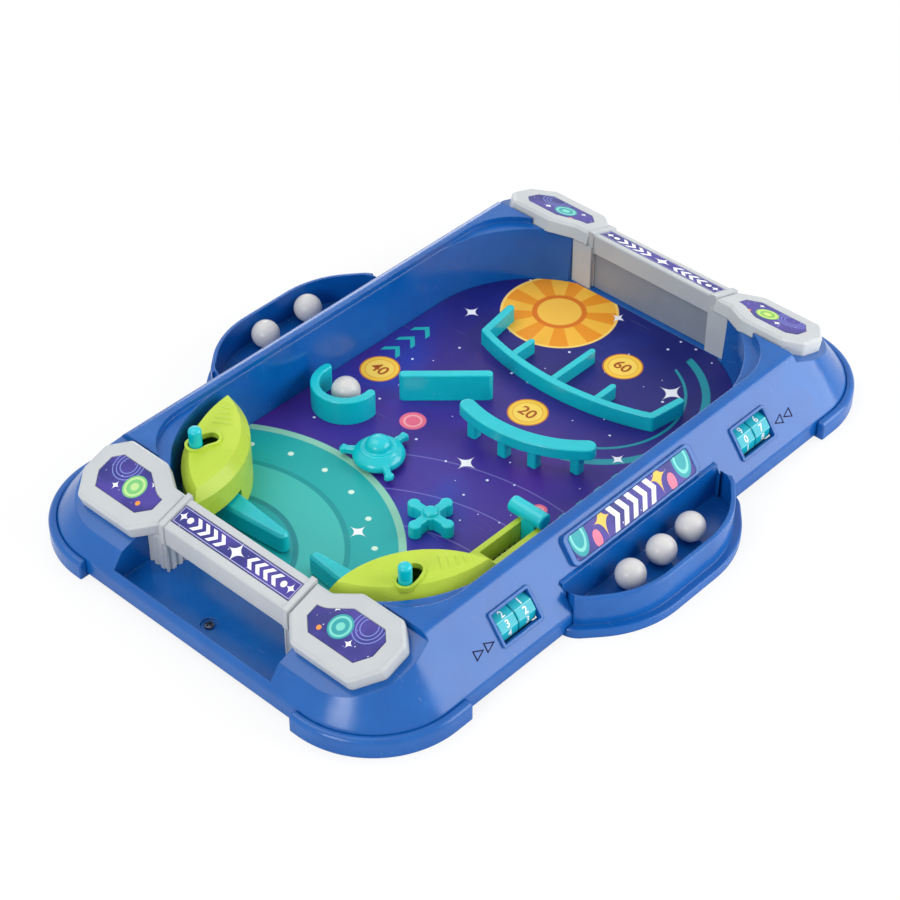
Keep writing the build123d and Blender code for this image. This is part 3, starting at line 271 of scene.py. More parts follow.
def fair_skin(node, edge, crease):
    """A node's loose triangles as one fair skin: corners under a micron apart are welded, flat
    neighbours are joined into whole faces, and creases are rounded off by the edge width."""
    corners, loose = loose_triangles(node)
    microns = np.round(corners * 1e6).astype(np.int64)
    _, first, weld = np.unique(microns, axis=0, return_index=True, return_inverse=True)
    faces = weld.reshape(-1)[loose]
    whole = (faces[:, 0] != faces[:, 1]) & (faces[:, 1] != faces[:, 2]) & (faces[:, 2] != faces[:, 0])
    mesh = bpy.data.meshes.new(node + "_skin")
    mesh.from_pydata(corners[first].tolist(), [], faces[whole].tolist())
    skin = bmesh.new()
    skin.from_mesh(mesh)
    flat = radians(0.5)
    bmesh.ops.dissolve_limit(skin, angle_limit=flat, verts=skin.verts, edges=skin.edges, delimit={"NORMAL"})
    skin.to_mesh(mesh)
    skin.free()
    mesh.shade_smooth()
    mesh.set_sharp_from_angle(angle=crease)
    piece = bpy.data.objects.new(node + "_skin", mesh)
    scene.collection.objects.link(piece)
    if edge:
        rounding = piece.modifiers.new("rounded_edges", "BEVEL")
        rounding.width = edge
        rounding.segments = 3
        rounding.limit_method = "ANGLE"
        rounding.angle_limit = crease
        rounding.miter_outer = "MITER_ARC"
    facing = piece.modifiers.new("even_faces", "WEIGHTED_NORMAL")
    facing.keep_sharp = True
    return piece


def dress(node, body, material, edge):
    """A fair skin over one node, in its material, that rides on the node's body in its place."""
    piece = fair_skin(node, edge, radians(28))
    piece.data.materials.append(material)
    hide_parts(node)
    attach(piece, body)
    return piece


tray_blue = moulded_plastic(
    "tray_blue", ink(12, 94, 174), ink(6, 84, 162),
    rough=0.17, texture=0.0007, bump=0.10, edge=0.0010, shine=0.42,
)
dress("base_tray", "game_body", tray_blue, 0)

# Corner guards: four blue bumper feet that wrap the tray's corners and carry its skirt. They are
# moulded in the same blue and pressed on from below.
for corner in ("far_right", "far_left", "near_right", "near_left"):
    dress("guard_" + corner, "game_body", tray_blue, 0.0008)

# Playing board: a thin sheet laid in the tray's floor, printed in violet and blue with lanes, rings and
# dots in teal and orange, under a clear varnish.


def vectors(tree, operation, first, second):
    """One sum on two vectors: its outputs, a vector and a value."""
    return shade(tree, "ShaderNodeVectorMath", {0: first, 1: second}, operation=operation).outputs


def flat_spot(tree):
    """Object coordinates with the height taken out, for prints that are drawn in plan."""
    return vectors(tree, "MULTIPLY", object_spot(tree), (1, 1, 0))["Vector"]


def far_from(tree, at, x, y):
    """Distance from a point in plan."""
    return vectors(tree, "DISTANCE", at, (x, y, 0))["Value"]


def disc(tree, at, x, y, radius, blur=0.0003):
    """A round dot."""
    return ramp(tree, far_from(tree, at, x, y), radius + blur, radius - blur)


def hoop(tree, at, x, y, radius, width, blur=0.0003):
    """A thin ring: near the circle of this radius."""
    off = sums(tree, "ABSOLUTE", sums(tree, "SUBTRACT", far_from(tree, at, x, y), radius))
    return ramp(tree, off, width / 2 + blur, width / 2 - blur)


def moved_to(tree, at, x, y):
    """Plan coordinates counted from a point."""
    return vectors(tree, "SUBTRACT", at, (x, y, 0))["Vector"]


def along(tree, at, x, y, angle):
    """How far a point lies along and across a line that starts at x, y under an angle."""
    moved = moved_to(tree, at, x, y)
    run = vectors(tree, "DOT_PRODUCT", moved, (cos(angle), sin(angle), 0))["Value"]
    side = vectors(tree, "DOT_PRODUCT", moved, (-sin(angle), cos(angle), 0))["Value"]
    return run, sums(tree, "ABSOLUTE", side)


def chevron(tree, at, x, y, angle, reach, width):
    """An arrow head: near the two lines that run back from its point, out to its reach."""
    run, side = along(tree, at, x, y, angle)
    off = sums(tree, "ABSOLUTE", sums(tree, "ADD", run, side))
    near = ramp(tree, off, width, 0.8 * width)
    return sums(tree, "MULTIPLY", near, ramp(tree, side, reach, 0.94 * reach))


def glint(tree, at, x, y, reach):
    """A four-pointed star: the root of the run plus the root of the side is under the root of the reach."""
    run, side = along(tree, at, x, y, 0.0)
    arms = sums(tree, "ADD", sums(tree, "SQRT", sums(tree, "ABSOLUTE", run)), sums(tree, "SQRT", side))
    return ramp(tree, arms, 1.06 * sqrt(reach), 0.94 * sqrt(reach))


def starry(tree, at, spacing, share):
    """Small dots scattered on a loose grid: close to the middle of some of its cells."""
    grid = {"Vector": at, "Scale": 1 / spacing}
    cells = shade(tree, "ShaderNodeTexVoronoi", grid, voronoi_dimensions="2D")
    picked = shade(tree, "ShaderNodeSeparateColor", {0: cells.outputs["Color"]}).outputs
    size = ramp(tree, picked[1], 0.0, 1.0, 0.025, 0.065)
    near = sums(tree, "LESS_THAN", cells.outputs["Distance"], size)
    return sums(tree, "MULTIPLY", near, sums(tree, "LESS_THAN", picked[0], share))


def printed(tree, surface, art):
    """The finish of a printed sheet: halftone in the ink, a faint orange-peel in the varnish, scuffs
    and dust."""
    rough = 0.34
    dots = shade(tree, "ShaderNodeTexVoronoi", {"Vector": object_spot(tree), "Scale": 2600.0})
    screen = ramp(tree, dots.outputs["Distance"], 0.35, 0.75)
    grain = placed(tree, moulded_grain, {"Texture Size": 0.0012, "Flow Size": 0.02})
    hairs = placed(tree, hand_scuffs, {"Amount": 0.7})["Mask"]
    film = placed(tree, settled_dust, {"Amount": 0.4})["Mask"]
    screened = layer(tree, art, (0.02, 0.02, 0.05, 1), sums(tree, "MULTIPLY", screen, 0.05))
    wear = sums(tree, "MULTIPLY_ADD", hairs, 0.16, sums(tree, "MULTIPLY", film, 0.07))
    gloss = ramp(tree, grain["Gloss"], 0.0, 1.0, rough, rough + 0.08)
    varnish = {"Strength": 0.08, "Distance": 0.0001, "Height": grain["Height"]}
    tree.links.new(layer(tree, screened, (0.5, 0.5, 0.6, 1), wear), surface["Base Color"])
    tree.links.new(sums(tree, "MULTIPLY_ADD", hairs, 0.2, gloss), surface["Roughness"])
    tree.links.new(shade(tree, "ShaderNodeBump", varnish).outputs[0], surface["Normal"])
    surface["Specular IOR Level"].default_value = 0.3


def put_on(node, material):
    """A print put on a node's own mesh."""
    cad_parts[node].data.materials.clear()
    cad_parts[node].data.materials.append(material)


glint_white = ink(245, 247, 255)
lane_x, lane_steps = 0.080, (0.000, 0.014, 0.028, 0.042)
side_lane_x, side_lane_steps = -0.084, (0.036, 0.048, 0.060)
trail_x, trail_y, trail_radii = 0.060, -0.150, (0.092, 0.118, 0.146)
pool_x, pool_y, bead_ring, bead_radius = -0.040, -0.150, 0.086, 0.0016
pool_rings = (
    (0.102, ink(140, 202, 180)),
    (0.098, ink(20, 166, 168)),
    (0.074, ink(0, 146, 150)),
    (0.071, ink(58, 182, 178)),
    (0.048, ink(0, 134, 142)),
    (0.045, ink(10, 160, 164)),
)
hub_x, hub_y, spoke_count = -0.040, 0.122, 9.0
band_x, band_y = 0.0225, 0.082
buttons = ((-0.034, -0.004, 0.0072, 0.0046, 0.0012), (0.062, -0.012, 0.0045, 0.0025, 0.0009))
glints = (
    (0.052, 0.108, 0.0085),
    (-0.076, 0.088, 0.006),
    (0.010, -0.010, 0.007),
    (0.066, 0.046, 0.005),
    (0.006, -0.086, 0.006),
    (-0.012, 0.140, 0.005),
)
score_spots = {"40": (-0.078, 0.016), "20": (0.006, 0.043), "60": (0.018, 0.108)}
score_rings = (
    (0.0112, ink(214, 128, 20)),
    (0.0104, ink(250, 206, 70)),
    (0.0084, ink(236, 164, 40)),
    (0.0079, ink(252, 216, 92)),
)

board_print, tree, surface = new_material("board_print")
at = flat_spot(tree)
cloud = noise(tree, at, 11.0, 3.0, Distortion=0.6)
plan = shade(tree, "ShaderNodeSeparateXYZ", {0: at}).outputs
art = layer(tree, ink(58, 36, 142), ink(18, 26, 112), ramp(tree, plan["Y"], -0.02, 0.13))
art = layer(tree, art, ink(18, 62, 172), sums(tree, "MULTIPLY", ramp(tree, cloud, 0.5, 0.74), 0.75))
art = layer(tree, art, ink(92, 34, 146), sums(tree, "MULTIPLY", ramp(tree, cloud, 0.44, 0.26), 0.7))
trails = together(tree, [hoop(tree, at, trail_x, trail_y, radius, 0.0007) for radius in trail_radii])
art = layer(tree, art, ink(150, 150, 225), sums(tree, "MULTIPLY", trails, 0.4))
art = layer(tree, art, ink(214, 222, 250), starry(tree, at, 0.0125, 0.34))
for radius, tint in pool_rings:
    art = layer(tree, art, tint, disc(tree, at, pool_x, pool_y, radius))
bead_turns = np.radians(np.arange(15, 166, 15)).tolist()
bead_spots = [(pool_x + bead_ring * cos(turn), pool_y + bead_ring * sin(turn)) for turn in bead_turns]
beads = [disc(tree, at, x, y, bead_radius) for x, y in bead_spots]
art = layer(tree, art, ink(210, 240, 225), together(tree, beads))
across = shade(tree, "ShaderNodeSeparateXYZ", {0: moved_to(tree, at, hub_x, hub_y)}).outputs
around = sums(tree, "ARCTAN2", across["Y"], across["X"])
spokes = sums(tree, "SINE", sums(tree, "MULTIPLY", around, spoke_count))
wheel = layer(tree, ink(240, 152, 30), ink(250, 190, 62), ramp(tree, spokes, -0.06, 0.06))
art = layer(tree, art, ink(255, 214, 110), disc(tree, at, hub_x, hub_y, 0.0335))
art = layer(tree, art, wheel, disc(tree, at, hub_x, hub_y, 0.0320))
art = layer(tree, art, ink(222, 120, 24), disc(tree, at, hub_x, hub_y, 0.0155))
art = layer(tree, art, ink(250, 196, 74), disc(tree, at, hub_x, hub_y, 0.0125))
lanes = [chevron(tree, at, lane_x, y, pi / 2, 0.0075, 0.0026) for y in lane_steps]
lanes += [chevron(tree, at, side_lane_x, y, pi / 2, 0.006, 0.002) for y in side_lane_steps]
art = layer(tree, art, ink(30, 176, 180), together(tree, lanes))
wide_band = hoop(tree, at, band_x, band_y, 0.058, 0.0045)
fine_band = hoop(tree, at, band_x, band_y, 0.047, 0.0016)
right_half = ramp(tree, plan["X"], 0.040, 0.042)
bands = sums(tree, "MULTIPLY", together(tree, [wide_band, fine_band]), right_half)
art = layer(tree, art, ink(28, 150, 165), bands)
dots = [disc(tree, at, x, y, radius) for x, y, radius, _, _ in buttons]
art = layer(tree, art, ink(236, 110, 140), together(tree, dots))
rings = [hoop(tree, at, x, y, radius, width) for x, y, _, radius, width in buttons]
art = layer(tree, art, ink(250, 170, 180), together(tree, rings))
stars = [glint(tree, at, x, y, reach) for x, y, reach in glints]
art = layer(tree, art, glint_white, together(tree, stars))
for radius, tint in score_rings:
    discs = [disc(tree, at, x, y, radius, 0.0002) for x, y in score_spots.values()]
    art = layer(tree, art, tint, together(tree, discs))
printed(tree, surface, art)
put_on("playfield_board", board_print)


def figures(text, height):
    """The outline of some figures as a flat mesh round its own middle: its corners and its triangles."""
    line = bpy.data.curves.new("figures", "FONT")
    line.body = text
    line.size = 1.0
    line.align_x = "CENTER"
    line.offset = 0.018
    holder = bpy.data.objects.new("figures", line)
    scene.collection.objects.link(holder)
    bpy.context.view_layer.update()
    flat = bpy.data.meshes.new_from_object(holder.evaluated_get(bpy.context.evaluated_depsgraph_get()))
    flat.calc_loop_triangles()
    corners = np.empty(3 * len(flat.vertices))
    flat.vertices.foreach_get("co", corners)
    faces = np.empty(3 * len(flat.loop_triangles), dtype=np.int64)
    flat.loop_triangles.foreach_get("vertices", faces)
    corners = corners.reshape(-1, 3)
    middle = (corners.min(axis=0) + corners.max(axis=0)) / 2
    tall = corners[:, 1].max() - corners[:, 1].min()
    bpy.data.objects.remove(holder)
    bpy.data.curves.remove(line)
    bpy.data.meshes.remove(flat)
    return (corners - middle) * height / tall, faces.reshape(-1, 3)


def mesh_piece(name, parts, material, body):
    """One piece from several parts, each a set of corners in its place and one or more sets of faces."""
    corners, faces, count = [], [], 0
    for part_corners, *face_sets in parts:
        corners.append(part_corners)
        faces += [face for face_set in face_sets for face in (face_set + count).tolist()]
        count += len(part_corners)
    mesh = bpy.data.meshes.new(name)
    mesh.from_pydata(np.concatenate(corners).tolist(), [], faces)
    mesh.shade_smooth()
    mesh.materials.append(material)
    piece = bpy.data.objects.new(name, mesh)
    scene.collection.objects.link(piece)
    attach(piece, body)
    return piece


score_height, print_lift = 0.0074, 0.00005
board_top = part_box("playfield_board")[1].z
score_figures = []
for text, (x, y) in score_spots.items():
    corners, faces = figures(text, score_height)
    score_figures.append((corners + np.array([x, y, board_top + print_lift]), faces))
figure_ink = moulded_plastic(
    "figure_ink", ink(176, 84, 16), ink(160, 72, 10),
    rough=0.35, texture=0.001, bump=0.04, scuffs=0.3,
)
mesh_piece("score_figures", score_figures, figure_ink, "game_body")

# End arches: grey satin bars on fluted posts, with the eight-sided caps that close them on the tray's
# bevelled seats. They snap into the tray, and the far one has a back panel between its posts.
satin = {"texture": 0.0009, "bump": 0.14, "scuffs": 0.4, "dust": 0.4}
arch_grey = moulded_plastic(
    "arch_grey", ink(194, 198, 201), ink(185, 190, 194),
    rough=0.30, edge=0.0008, **satin,
)
for end in ("near", "far"):
    for part in ("_goal_bar", "_left_cap", "_right_cap"):
        dress(end + part, "game_body", arch_grey, 0)
panel_grey = moulded_plastic(
    "panel_grey", ink(146, 153, 163), ink(136, 143, 154),
    rough=0.34, **satin,
)
dress("far_back_panel", "game_body", panel_grey, 0.0004)

# Labels: die-cut printed films stuck in shallow recesses on the caps, the bars and the right flank, with
# rows of marks, rings and dots in white, teal, green and orange on violet.
label_violet, label_navy, mark_white = ink(64, 50, 152), ink(28, 30, 122), ink(246, 247, 252)
mark_teal, pale_teal, mark_orange = ink(34, 160, 165), ink(120, 214, 200), ink(245, 150, 50)


def label_sheet(name, node):
    """A new label on a node: its tree, surface and plan coordinates, the node's middle and the ground."""
    sheet, tree, surface = new_material(name)
    at = flat_spot(tree)
    low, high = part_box(node)
    ground = layer(tree, label_navy, label_violet, ramp(tree, noise(tree, at, 45.0, 2.0), 0.36, 0.62))
    put_on(node, sheet)
    dotted = layer(tree, ground, ink(206, 210, 245), starry(tree, at, 0.0052, 0.4))
    return tree, surface, at, (low + high) / 2, dotted


cap_marks = {
    "near_left": (ink(120, 200, 120), ink(190, 226, 150), 1.0),
    "near_right": (mark_teal, pale_teal, -1.0),
    "far_left": (mark_teal, pale_teal, 1.0),
    "far_right": (ink(130, 196, 80), ink(206, 226, 120), -1.0),
}
crisp, wave_radii = 0.00015, (0.0045, 0.0064, 0.0083)
for corner, (dark, light, lean) in cap_marks.items():
    tree, surface, at, middle, art = label_sheet("label_" + corner, corner + "_cap_label")
    x, y = middle.x + 0.003 * lean, middle.y
    wave_x, wave_y = x - 0.012 * lean, y + 0.007
    waves = [hoop(tree, at, wave_x, wave_y, radius, 0.0005, 0.00012) for radius in wave_radii]
    art = layer(tree, art, ink(130, 150, 226), sums(tree, "MULTIPLY", together(tree, waves), 0.8))
    art = layer(tree, art, dark, disc(tree, at, x, y, 0.0064, crisp))
    art = layer(tree, art, light, hoop(tree, at, x, y, 0.0049, 0.0012, crisp))
    art = layer(tree, art, light, disc(tree, at, x, y, 0.0022, crisp))
    art = layer(tree, art, mark_orange, disc(tree, at, x + 0.0085 * lean, y - 0.0058, 0.0013, crisp))
    near_glint = glint(tree, at, x - 0.0095 * lean, y - 0.0045, 0.0030)
    far_glint = glint(tree, at, x + 0.0080 * lean, y + 0.0062, 0.0024)
    art = layer(tree, art, glint_white, together(tree, [near_glint, far_glint]))
    printed(tree, surface, art)

bar_steps, bar_dot_x, bar_glint_x = (0.009, 0.0145, 0.020, 0.0255), 0.0325, 0.0372
for end in ("near", "far"):
    tree, surface, at, middle, art = label_sheet("label_" + end + "_bar", end + "_bar_label")
    marks = [glint(tree, at, 0.0, middle.y, 0.0062)]
    for side in (-1, 1):
        turn = pi / 2 - side * pi / 2 + pi
        marks += [chevron(tree, at, side * x, middle.y, turn, 0.0034, 0.0015) for x in bar_steps]
        marks.append(disc(tree, at, side * bar_dot_x, middle.y, 0.0017, 0.0002))
        marks.append(glint(tree, at, side * bar_glint_x, middle.y, 0.0034))
    printed(tree, surface, layer(tree, art, mark_white, together(tree, marks)))

ring_steps, dot_steps, star_steps = (-0.040, 0.039), (-0.029, 0.0285), (-0.022, 0.021)
arrow_steps, fair = (-0.012, -0.005, 0.002, 0.009, 0.016), 0.0002
tree, surface, at, middle, art = label_sheet("label_side", "side_label")
left_x, right_x = middle.x - 0.002, middle.x + 0.002
discs = [disc(tree, at, left_x, y, 0.0060, fair) for y in ring_steps]
art = layer(tree, art, ink(28, 160, 168), together(tree, discs))
rings = [hoop(tree, at, left_x, y, 0.0040, 0.0012, fair) for y in ring_steps]
art = layer(tree, art, ink(124, 212, 204), together(tree, rings))
dots = [disc(tree, at, right_x, y, 0.0028, fair) for y in dot_steps]
art = layer(tree, art, ink(236, 120, 150), together(tree, dots))
stars = [glint(tree, at, left_x, y, 0.0062) for y in star_steps]
art = layer(tree, art, ink(250, 196, 80), together(tree, stars))
heads = [chevron(tree, at, middle.x, y, pi / 2, 0.0042, 0.0019) for y in arrow_steps]
printed(tree, surface, layer(tree, art, mark_white, together(tree, heads)))


def ring_quads(rings, turns):
    """Four-sided faces between each closed ring of points and the next."""
    ring, turn = np.meshgrid(np.arange(rings - 1), np.arange(turns), indexing="ij")
    here, there = ring * turns + turn, ring * turns + (turn + 1) % turns
    return np.stack([here, there, there + turns, here + turns], axis=-1).reshape(-1, 4)


def label_line(node, inset, width, lift):
    """A line just inside a label's outline: strips between two outlines, each the label's own corners moved
    in along both edges that meet there. The corners of its upper face are put in order round its middle."""
    corners, faces = loose_triangles(node)
    start = corners[faces[:, 0]]
    normals = np.cross(corners[faces[:, 1]] - start, corners[faces[:, 2]] - start)
    size = np.linalg.norm(normals, axis=1)
    normals /= np.maximum(size, 1e-15)[:, None]
    up = normals[np.argmax(size * (normals[:, 2] > 0.2))]
    top = np.unique(np.round(corners[faces[normals @ up > 0.999].reshape(-1)], 6), axis=0)
    middle = top.mean(axis=0)
    level = np.cross((0, 0, 1), up)
    right = level / np.linalg.norm(level)
    ahead = np.cross(up, right)
    plan = np.stack([(top - middle) @ right, (top - middle) @ ahead], axis=-1)
    plan = plan[np.argsort(np.arctan2(plan[:, 1], plan[:, 0]))]
    edges = np.roll(plan, -1, axis=0) - plan
    inward = np.stack([-edges[:, 1], edges[:, 0]], axis=-1) / np.linalg.norm(edges, axis=1)[:, None]
    before = np.roll(inward, 1, axis=0)
    step = (inward + before) / (1 + np.sum(inward * before, axis=1))[:, None]
    flat = np.concatenate([plan + inset * step, plan + (inset + width) * step])
    line = middle + lift * up + flat[:, :1] * right + flat[:, 1:] * ahead
    return line, ring_quads(2, len(plan))


line_ink = moulded_plastic(
    "line_ink", ink(168, 170, 214), ink(158, 160, 206),
    rough=0.34, texture=0.001, bump=0.04, dust=0.4,
)
line_inset, line_width, line_lift = 0.0004, 0.0005, 0.00004
lines = [label_line(end + "_bar_label", line_inset, line_width, line_lift) for end in ("near", "far")]
mesh_piece("label_lines", lines, line_ink, "game_body")

# Ball trays: D-shaped troughs in the tray's blue that plug into openings in the flanks, with a flat
# flange round the foot.
for side in ("right", "left"):
    dress(side + "_ball_tray", "game_body", tray_blue, 0)

# Balls: solid off-white plastic balls, moulded in two halves, with the faint parting line that the
# mould leaves. They lie loose in the ball trays and the cup.
ball_white = moulded_plastic(
    "ball_white", ink(213, 212, 211), ink(204, 203, 203),
    rough=0.22, texture=0.0016, bump=0.12, scuffs=0.8, dust=0.2,
)


def ball_surface(middle, radius, tilt):
    """Sphere over longitude and latitude. The radius grows by a hair in a narrow band at the equator, which
    is the parting line, and the whole is tipped by a tilt about X."""
    turns, rows, line_rise, line_band = 96, 65, 0.00005, 0.02
    rises, spin = np.linspace(-pi / 2, pi / 2, rows)[1:-1], np.arange(turns) * 2 * pi / turns
    latitude, longitude = np.meshgrid(rises, spin, indexing="ij")
    reach = radius - line_rise + line_rise * np.exp(-((latitude / line_band) ** 2))
    x, y = reach * np.cos(latitude) * np.cos(longitude), reach * np.cos(latitude) * np.sin(longitude)
    z = reach * np.sin(latitude)
    tipped = [x, y * cos(tilt) - z * sin(tilt), y * sin(tilt) + z * cos(tilt)]
    grid = np.stack(tipped, axis=-1).reshape(-1, 3)
    pole = np.array([0.0, -sin(tilt), cos(tilt)]) * (radius - line_rise)
    corners = np.concatenate([grid, [-pole, pole]]) + np.array(middle)
    step, top, last = np.arange(turns), (rows - 3) * turns, len(grid)
    after = (step + 1) % turns
    below = np.stack([after, step, np.full(turns, last)], axis=-1)
    above = np.stack([top + step, top + after, np.full(turns, last + 1)], axis=-1)
    return corners, ring_quads(rows - 2, turns), below, above


loose_balls = ("right_near", "right_middle", "right_far", "left_near", "left_far", "in_cup")
first_tilt, next_tilt = 0.5, 0.7
for count, place in enumerate(loose_balls):
    ball = "ball_" + place
    low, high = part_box(ball)
    surface = ball_surface((low + high) / 2, (high.z - low.z) / 2, first_tilt + next_tilt * count)
    piece = mesh_piece(ball + "_surface", [surface], ball_white, ball + "_body")
    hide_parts(ball)

# Scorers: ten-sided number drums in clear teal plastic, two side by side on a steel axle behind each
# window. A white figure is stamped on every facet, and two arrow heads beside each window point at it.
drum_sides, drum_radius, stamp_height, scorer_y = 10, 0.009, 0.0040, 0.092
axle_x, axle_z = 0.110767, 0.020124
flank_rise, flank_run, flank_foot_x, flank_foot_z = 0.031, 0.023, 0.127, 0.011
window_turn = np.arctan2(flank_run, flank_rise)
facet_turn = 2 * pi / drum_sides
drum_teal = moulded_plastic(
    "drum_teal", ink(34, 176, 192), ink(16, 162, 180),
    rough=0.16, texture=0.0008, bump=0.06, scuffs=0.4, dust=0.2,
)
tree = drum_teal.node_tree
tint = tree.nodes["Principled BSDF"].inputs["Base Color"]
spot = shade(tree, "ShaderNodeSeparateXYZ", {0: object_spot(tree)}).outputs
out_x, out_z = sums(tree, "SUBTRACT", spot["X"], axle_x), sums(tree, "SUBTRACT", spot["Z"], axle_z)
turn = sums(tree, "ARCTAN2", out_z, out_x)
facets = sums(tree, "MULTIPLY_ADD", turn, 1 / facet_turn, 0.5 - window_turn / facet_turn + 2 * drum_sides)
# Painted highlight: a paler teal laid along every facet edge of the drum, where its edges would catch the
# light.
facet_edge_highlight = ramp(tree, sums(tree, "PINGPONG", facets, 0.5), 0.075, 0.03, 0.0, 0.55)
tree.links.new(layer(tree, tint.links[0].from_socket, ink(150, 222, 228), facet_edge_highlight), tint)
stamp_white = moulded_plastic(
    "stamp_white", ink(240, 246, 248), ink(226, 236, 240),
    rough=0.3, texture=0.0012, bump=0.05, scuffs=0.3, dust=0.2,
)
stamp_reach = drum_radius * cos(pi / drum_sides) + print_lift
for drum, shown in (("near_tens", 3), ("near_units", 2), ("far_tens", 0), ("far_units", 7)):
    dress(drum + "_drum", drum + "_wheel", drum_teal, 0.0005)
    low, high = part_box(drum + "_drum")
    drum_middle = np.array([axle_x, (low.y + high.y) / 2, axle_z])
    stamps = []
    for facet in range(drum_sides):
        corners, faces = figures(str((shown + facet) % 10), stamp_height)
        turn = window_turn - facet * facet_turn
        outward, down = np.array([cos(turn), 0, sin(turn)]), np.array([sin(turn), 0, -cos(turn)])
        laid = corners[:, :1] * np.array([0, 1, 0]) - corners[:, 1:2] * down
        stamps.append((drum_middle + stamp_reach * outward + laid, faces))
    mesh_piece(drum + "_stamps", stamps, stamp_white, drum + "_wheel")


def flank_arrow(start, point, width, line):
    """An arrow head's outline laid on the flank's slope: three strips from an outer to an inner triangle,
    with their distance up the slope turned into a step in and a step up."""
    arrow_rise, lift = 0.0135, 0.00003
    outer = np.array([(start, -width), (point, 0.0), (start, width)])
    middle = outer.mean(axis=0)
    plan = np.concatenate([outer, middle + (outer - middle) * (1 - line)])
    slope = np.hypot(flank_rise, flank_run)
    up = arrow_rise + plan[:, 1]
    x, z = flank_foot_x + lift - up * flank_run / slope, flank_foot_z + lift + up * flank_rise / slope
    faces = ring_quads(2, 3)
    return np.stack([x, plan[:, 0], z], axis=-1), faces if point < start else faces[:, ::-1]


arrow_start, arrow_point, arrow_half, arrow_line, arrow_pitch = 0.0232, 0.0165, 0.0029, 0.36, 0.0074
arrows = []
for side in (-1, 1):
    for step in (scorer_y, scorer_y + arrow_pitch):
        start, point = side * (step + arrow_start), side * (step + arrow_point)
        arrows.append(flank_arrow(start, point, arrow_half, arrow_line))
mark_blue = moulded_plastic(
    "mark_blue", ink(4, 14, 62), ink(2, 10, 52),
    rough=0.45, texture=0.001, bump=0.05, scuffs=0.3, dust=0.2, shine=0.1,
)
mesh_piece("scorer_arrows", arrows, mark_blue, "game_body")


def drum_cradle(middle, half, start, end):
    """A trough behind one pair of drums: a thin wall bent round the axle from one edge of the window to the
    other, given over turn and width, with its outer and inner faces joined at the edges."""
    inner, outer, steps = 0.0093, 0.0097, 49
    turn = np.linspace(start, end, steps)
    loop = np.concatenate([turn, turn[::-1]])
    reach = np.repeat([inner, outer], steps)
    ring = np.stack([axle_x + reach * np.cos(loop), axle_z + reach * np.sin(loop)], axis=-1)
    corners = np.concatenate([np.insert(ring, 1, middle + side * half, axis=1) for side in (-1, 1)])
    return corners, ring_quads(2, 2 * steps)


cradle_half, cradle_start, cradle_end = 0.0125, window_turn + radians(62), window_turn + radians(298)
cradles = [drum_cradle(y, cradle_half, cradle_start, cradle_end) for y in (-scorer_y, scorer_y)]
mesh_piece("scorer_cradles", cradles, tray_blue, "game_body")

# Flipper housings: leaf-shaped lime hoods screwed down beside the near goal, with a lip round the thumb
# slot and four fine ribs on the roof. The right one carries the launcher's rails.
hood_lime = moulded_plastic(
    "hood_lime", ink(190, 213, 72), ink(179, 205, 60),
    rough=0.24, texture=0.0008, bump=0.10,
)
dress("left_flipper_housing", "game_body", hood_lime, 0.0009)
dress("right_flipper_housing", "game_body", hood_lime, 0.0007)


def roof_rib(middle, angle, half, width, level):
    """A low rounded rib: half a circle's height across, eased to nothing at its two ends."""
    sink, height, rows, steps = 0.0002, 0.0007, 25, 9
    run, side = np.meshgrid(np.linspace(-1, 1, rows), np.linspace(-1, 1, steps), indexing="ij")
    rise = np.sqrt(np.clip(1 - side**2, 0, 1)) * np.clip(1 - run**6, 0, 1)
    x = middle[0] + run * half * cos(angle) - side * width * sin(angle)
    y = middle[1] + run * half * sin(angle) + side * width * cos(angle)
    corners = np.stack([x, y, level - sink + height * rise], axis=-1).reshape(-1, 3)
    row, step = np.meshgrid(np.arange(rows - 1), np.arange(steps - 1), indexing="ij")
    first = (row * steps + step).reshape(-1)
    return corners, np.stack([first, first + steps, first + steps + 1, first + 1], axis=-1)


lip_rise, rib_width, rib_shift = 0.0012, 0.0006, 0.002
rib_rows = ((0.014, 0.0062), (0.018, 0.0052), (0.022, 0.0042), (0.026, 0.0031))
leaf_x, leaf_y, leaf_run = 0.070, -0.1125, np.array([0.048, 0.069])
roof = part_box("left_flipper_housing")[1].z - lip_rise
for side, name in ((-1, "left"), (1, "right")):
    leaf = leaf_run * (side, 1) / np.hypot(*leaf_run)
    middle = np.array([side * leaf_x, leaf_y]) + np.array([-leaf[1], leaf[0]]) * side * rib_shift
    turn = np.arctan2(leaf[1], leaf[0]) + pi / 2
    ribs = [roof_rib(middle + leaf * run, turn, half, rib_width, roof) for run, half in rib_rows]
    mesh_piece(name + "_roof_ribs", ribs, hood_lime, "game_body")

# Flippers: one teal moulding each, a tapered bat and a lever whose round thumb pin stands up through the
# hood's slot. A steel pin under the hood carries each one, and like pins carry the drums.
toy_teal = moulded_plastic(
    "toy_teal", ink(8, 197, 208), ink(2, 185, 198),
    rough=0.20, texture=0.0008, bump=0.08, dust=0.25, shine=0.5,
)


def drawn_steel(name, dark, light):
    """Steel wire or turned steel: two close greys mixed by a fine grain, and drawing marks in the gloss."""
    metal, tree, surface = new_material(name)
    grain = placed(tree, moulded_grain, {"Texture Size": 0.0004, "Flow Size": 0.006})
    hairs = placed(tree, hand_scuffs, {"Amount": 1.0})["Mask"]
    gloss = ramp(tree, grain["Gloss"], 0.0, 1.0, 0.24, 0.38)
    relief = {"Strength": 0.1, "Distance": 0.00005, "Height": grain["Height"]}
    tree.links.new(layer(tree, dark, light, grain["Tone"]), surface["Base Color"])
    tree.links.new(sums(tree, "MULTIPLY_ADD", hairs, 0.2, gloss), surface["Roughness"])
    tree.links.new(shade(tree, "ShaderNodeBump", relief).outputs[0], surface["Normal"])
    surface["Metallic"].default_value = 1.0
    return metal


